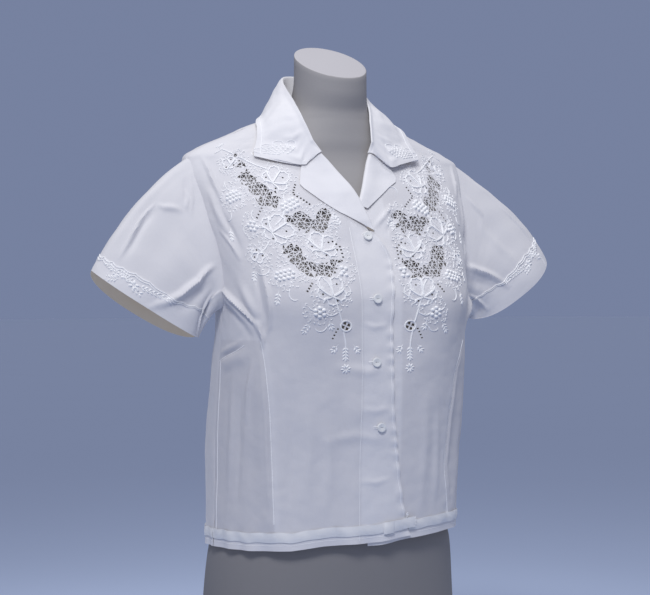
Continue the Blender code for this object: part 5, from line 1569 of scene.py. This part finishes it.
def buildTape():
    tab = [roundAt(x, tapeSet["level"]) for x in tapeSet["tab"]]
    end = [roundAt(x, tapeSet["level"]) for x in tapeSet["end"]]
    overEdge = roundAt(rightEdge[1][1], tapeSet["level"]) + 0.0012
    base = bodySet["layer"]
    for name, node, hem, rounds in (
            ("tapeRight", "tape_right", hemRight, np.linspace(-sideRound, tab[0], 160)),
            ("tapeLeft", "tape_left", hemLeft, np.linspace(overEdge, sideRound, 110)),
            ("tapeBack", "tape_back", hemBack, np.linspace(sideRound, 3 * sideRound, 220))):
        low = between(hem, rounds) + tapeSet["above"]
        lift = np.full_like(rounds, base)
        if name == "tapeRight":
            lift = lift + frontRise(np.column_stack([rounds, low]))
        made = tapeStrip(name, node, rounds, low, tapeSet["width"], lift, 0.0004, tapeSet["thick"])
    rounds = np.linspace(*end, 40)
    low = between(hemRight, rounds) + tapeSet["above"] - 0.0005
    lift = np.full_like(rounds, bodySet["overlap"] + base + 0.0007)
    made = tapeStrip("tapeEnd", "tape_end", rounds, low, tapeSet["width"] + 0.001, lift, 0.0003,
                     tapeSet["thick"])
    rounds = np.linspace(*tab, 30)
    low = between(hemRight, rounds) + tapeSet["above"] - 0.0015
    lift = bodySet["overlap"] + base + 0.0004 + 0.0014 * np.sin(np.linspace(0, math.pi, 30)) ** 0.5
    made = tapeStrip("tapeTab", "tape_tab", rounds, low, tapeSet["width"] + 0.0022, lift, 0.0, 0.0012)
    # frayed threads at the loose end, at the hem's side and at the front edge
    chance = np.random.default_rng(5)
    relief = Relief(bodyAt, 0.0)
    for place, count, reach, lift in (((end[1], 0.2125), 22, 0.0055, 0.0052),
                                      ((0.180, 0.207), 8, 0.0045, 0.0030),
                                      ((roundAt(0.036, 0.222), 0.222), 9, 0.0045, 0.0050)):
        for i in range(count):
            y = place[1] + chance.uniform(-0.0055, 0.0055) * (1.0 if count > 20 else 0.5)
            heading = chance.uniform(-0.7, 0.7)
            steps = np.linspace(0, 1, 6)
            ahead = reach * steps * math.cos(heading) * chance.uniform(0.6, 1.0)
            path = np.column_stack([place[0] - 0.001 + ahead,
                                    y + reach * steps * math.sin(heading) + 0.0006 * np.sin(steps * 4 + i)])
            first = len(relief.rise)
            relief.thread(path, 0.00055, 0.0004)
            for k in range(first, len(relief.rise)):
                relief.rise[k] += lift
    relief.piece("looseThreads")


buildTape()
print("tape built")

# buttons and buttonholes
buttonSet = {"places": [(-0.0050, 0.5500), (-0.0060, 0.4770), (-0.0085, 0.4030), (-0.0010, 0.3270)],
             "radius": 0.0054, "thick": 0.0024, "rim": 0.0012, "dish": 0.0003, "holes": 0.0011,
             "drill": 0.00055}


def buildButton(number, x, run):
    flat = np.array([[roundAt(x, run), run]])
    lift = frontRise(flat) + bodySet["layer"] + 0.0003
    place = Vector(bodyAt(flat, lift)[0])
    normal = Vector(ringNormals(bodyRings, flat[:, 0], flat[:, 1])[0])
    bpy.ops.object.select_all(action="DESELECT")
    bpy.ops.mesh.primitive_cylinder_add(vertices=48, radius=buttonSet["radius"], depth=buttonSet["thick"])
    made = bpy.context.object
    made.name = f"button{number}"
    made.data.name = made.name
    bpy.ops.object.mode_set(mode="EDIT")
    bpy.ops.mesh.select_all(action="DESELECT")
    bpy.ops.mesh.select_mode(type="FACE")
    bpy.ops.object.mode_set(mode="OBJECT")
    for face in made.data.polygons:
        face.select = face.normal.z > 0.9
    bpy.ops.object.mode_set(mode="EDIT")
    bpy.ops.mesh.inset(thickness=buttonSet["rim"])
    bpy.ops.transform.translate(value=(0, 0, 0.0001))
    bpy.ops.mesh.inset(thickness=0.0009)
    bpy.ops.transform.translate(value=(0, 0, -buttonSet["dish"]))
    bpy.ops.object.mode_set(mode="OBJECT")
    for sign in (-1, 1):
        hole = (sign * buttonSet["holes"], 0, 0)
        bpy.ops.mesh.primitive_cylinder_add(vertices=16, radius=buttonSet["drill"], depth=0.01, location=hole)
        drill = bpy.context.object
        cut = made.modifiers.new("Hole", "BOOLEAN")
        cut.operation, cut.solver, cut.object = "DIFFERENCE", "EXACT", drill
        only(made)
        bpy.ops.object.modifier_apply(modifier=cut.name)
        bpy.data.objects.remove(drill, do_unlink=True)
    rim = made.modifiers.new("Rim", "BEVEL")
    rim.width, rim.segments, rim.limit_method, rim.angle_limit = 0.00035, 2, "ANGLE", math.radians(40)
    applyAll(made)
    made.location = place + normal * buttonSet["thick"] / 2
    made.rotation_euler = normal.to_track_quat("Z", "Y").to_euler()
    only(made)
    bpy.ops.object.transform_apply(location=True, rotation=True, scale=True)
    bpy.ops.object.shade_smooth_by_angle(angle=math.radians(35))
    made.data.materials.clear()
    made.data.materials.append(buttonPearl)
    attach(made, "root")
    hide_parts(f"button_{number}")


for number, (x, run) in enumerate(buttonSet["places"], 1):
    buildButton(number, x, run)


def buildStitches():
    # buttonholes, and the sewn lines beside edges and seams
    relief = Relief(bodyAt, lambda flat: bodySet["under"] + bodySet["wall"] + np.where(
        ringPoints(bodyRings, flat[:, 0], flat[:, 1])[:, 0] < 0.05, frontRise(flat), 0.0))
    for x, run in buttonSet["places"][1:]:
        a = roundAt(x, run)
        for shift in (-0.0008, 0.0008):
            relief.thread([(a + u, run + shift) for u in np.linspace(-0.0095, 0.0045, 12)], 0.0011, 0.0006)
    edge = smoothPath(flatLine([(x0 - 0.003, run) for run, x0 in rightEdge[1:-1]]), 0.004)
    relief.thread(edge, 0.0005, 0.00022, taper=False)
    facing = smoothPath(flatLine([(-0.0265, run) for run in (0.195, 0.30, 0.42, 0.52, 0.56)]), 0.005)
    relief.thread(facing, 0.0005, 0.0002, taper=False)
    seams = [[(a, run) for run, a in dartLines["right"]], [(a, run) for run, a in dartLines["left"]],
             [(-0.226, 0.404), (-0.205, 0.411), (-0.182, 0.417), (-0.166, 0.423)],
             [(0.226, 0.404), (0.205, 0.411), (0.182, 0.417), (0.166, 0.423)],
             [(-0.222, 0.196), (-0.220, 0.300), (-0.221, 0.404)],
             [(0.222, 0.206), (0.220, 0.300), (0.221, 0.404)]]
    for seam in seams:
        relief.thread(smoothPath(seam, 0.004), 0.0009, 0.0005, taper=False)
    for hem, low, high in ((hemRight, -sideRound + 0.002, 0.036), (hemLeft, 0.048, sideRound - 0.002),
                           (hemBack, sideRound + 0.002, 3 * sideRound - 0.002)):
        rounds = np.linspace(low, high, int((high - low) / 0.004))
        relief.thread(np.column_stack([rounds, between(hem, rounds) + 0.0062]), 0.0005, 0.00022, taper=False)
    relief.piece("sewnLines")


buildStitches()
print("buttons and stitches built")

# floor, light and the room's soft air
bpy.ops.object.select_all(action="DESELECT")
bpy.ops.mesh.primitive_plane_add(size=stageSet["size"], location=(0, 0, -0.0005))
floor = bpy.context.object
floor.name = "floor"
floorKit = Kit("paleFloor", Roughness=0.9, Specular_IOR_Level=0.1)
floorPlace = floorKit.node("ShaderNodeTexCoord", {}, {}, 3)
floorCloud = floorKit.cloud(floorPlace, 1.5, 2.0)
floorTone = stageSet["floor"]
floorKit.feed("Base Color", floorKit.mix(floorCloud, rgb(*[c * 0.98 for c in floorTone]), rgb(*floorTone)))
floor.data.materials.append(floorKit.material)

world = bpy.data.worlds.new("softAir")
bpy.context.scene.world = world
world.use_nodes = True
air = world.node_tree.nodes["Background"]
eye = world.node_tree.nodes.new("ShaderNodeLightPath")
tone = world.node_tree.nodes.new("ShaderNodeMix")
tone.data_type = "RGBA"
tone.inputs[6].default_value = rgb(*stageSet["air"])
tone.inputs[7].default_value = rgb(*stageSet["backdrop"])
world.node_tree.links.new(eye.outputs["Is Camera Ray"], tone.inputs[0])
world.node_tree.links.new(tone.outputs[2], air.inputs[0])
for place, target, size, power, spread in lightSet:
    bpy.ops.object.light_add(type="AREA", location=place)
    lamp = bpy.context.object
    lamp.data.size, lamp.data.energy, lamp.data.spread = size, power, math.radians(spread)
    lamp.rotation_euler = (Vector(target) - Vector(place)).to_track_quat("-Z", "Y").to_euler()

print("done")
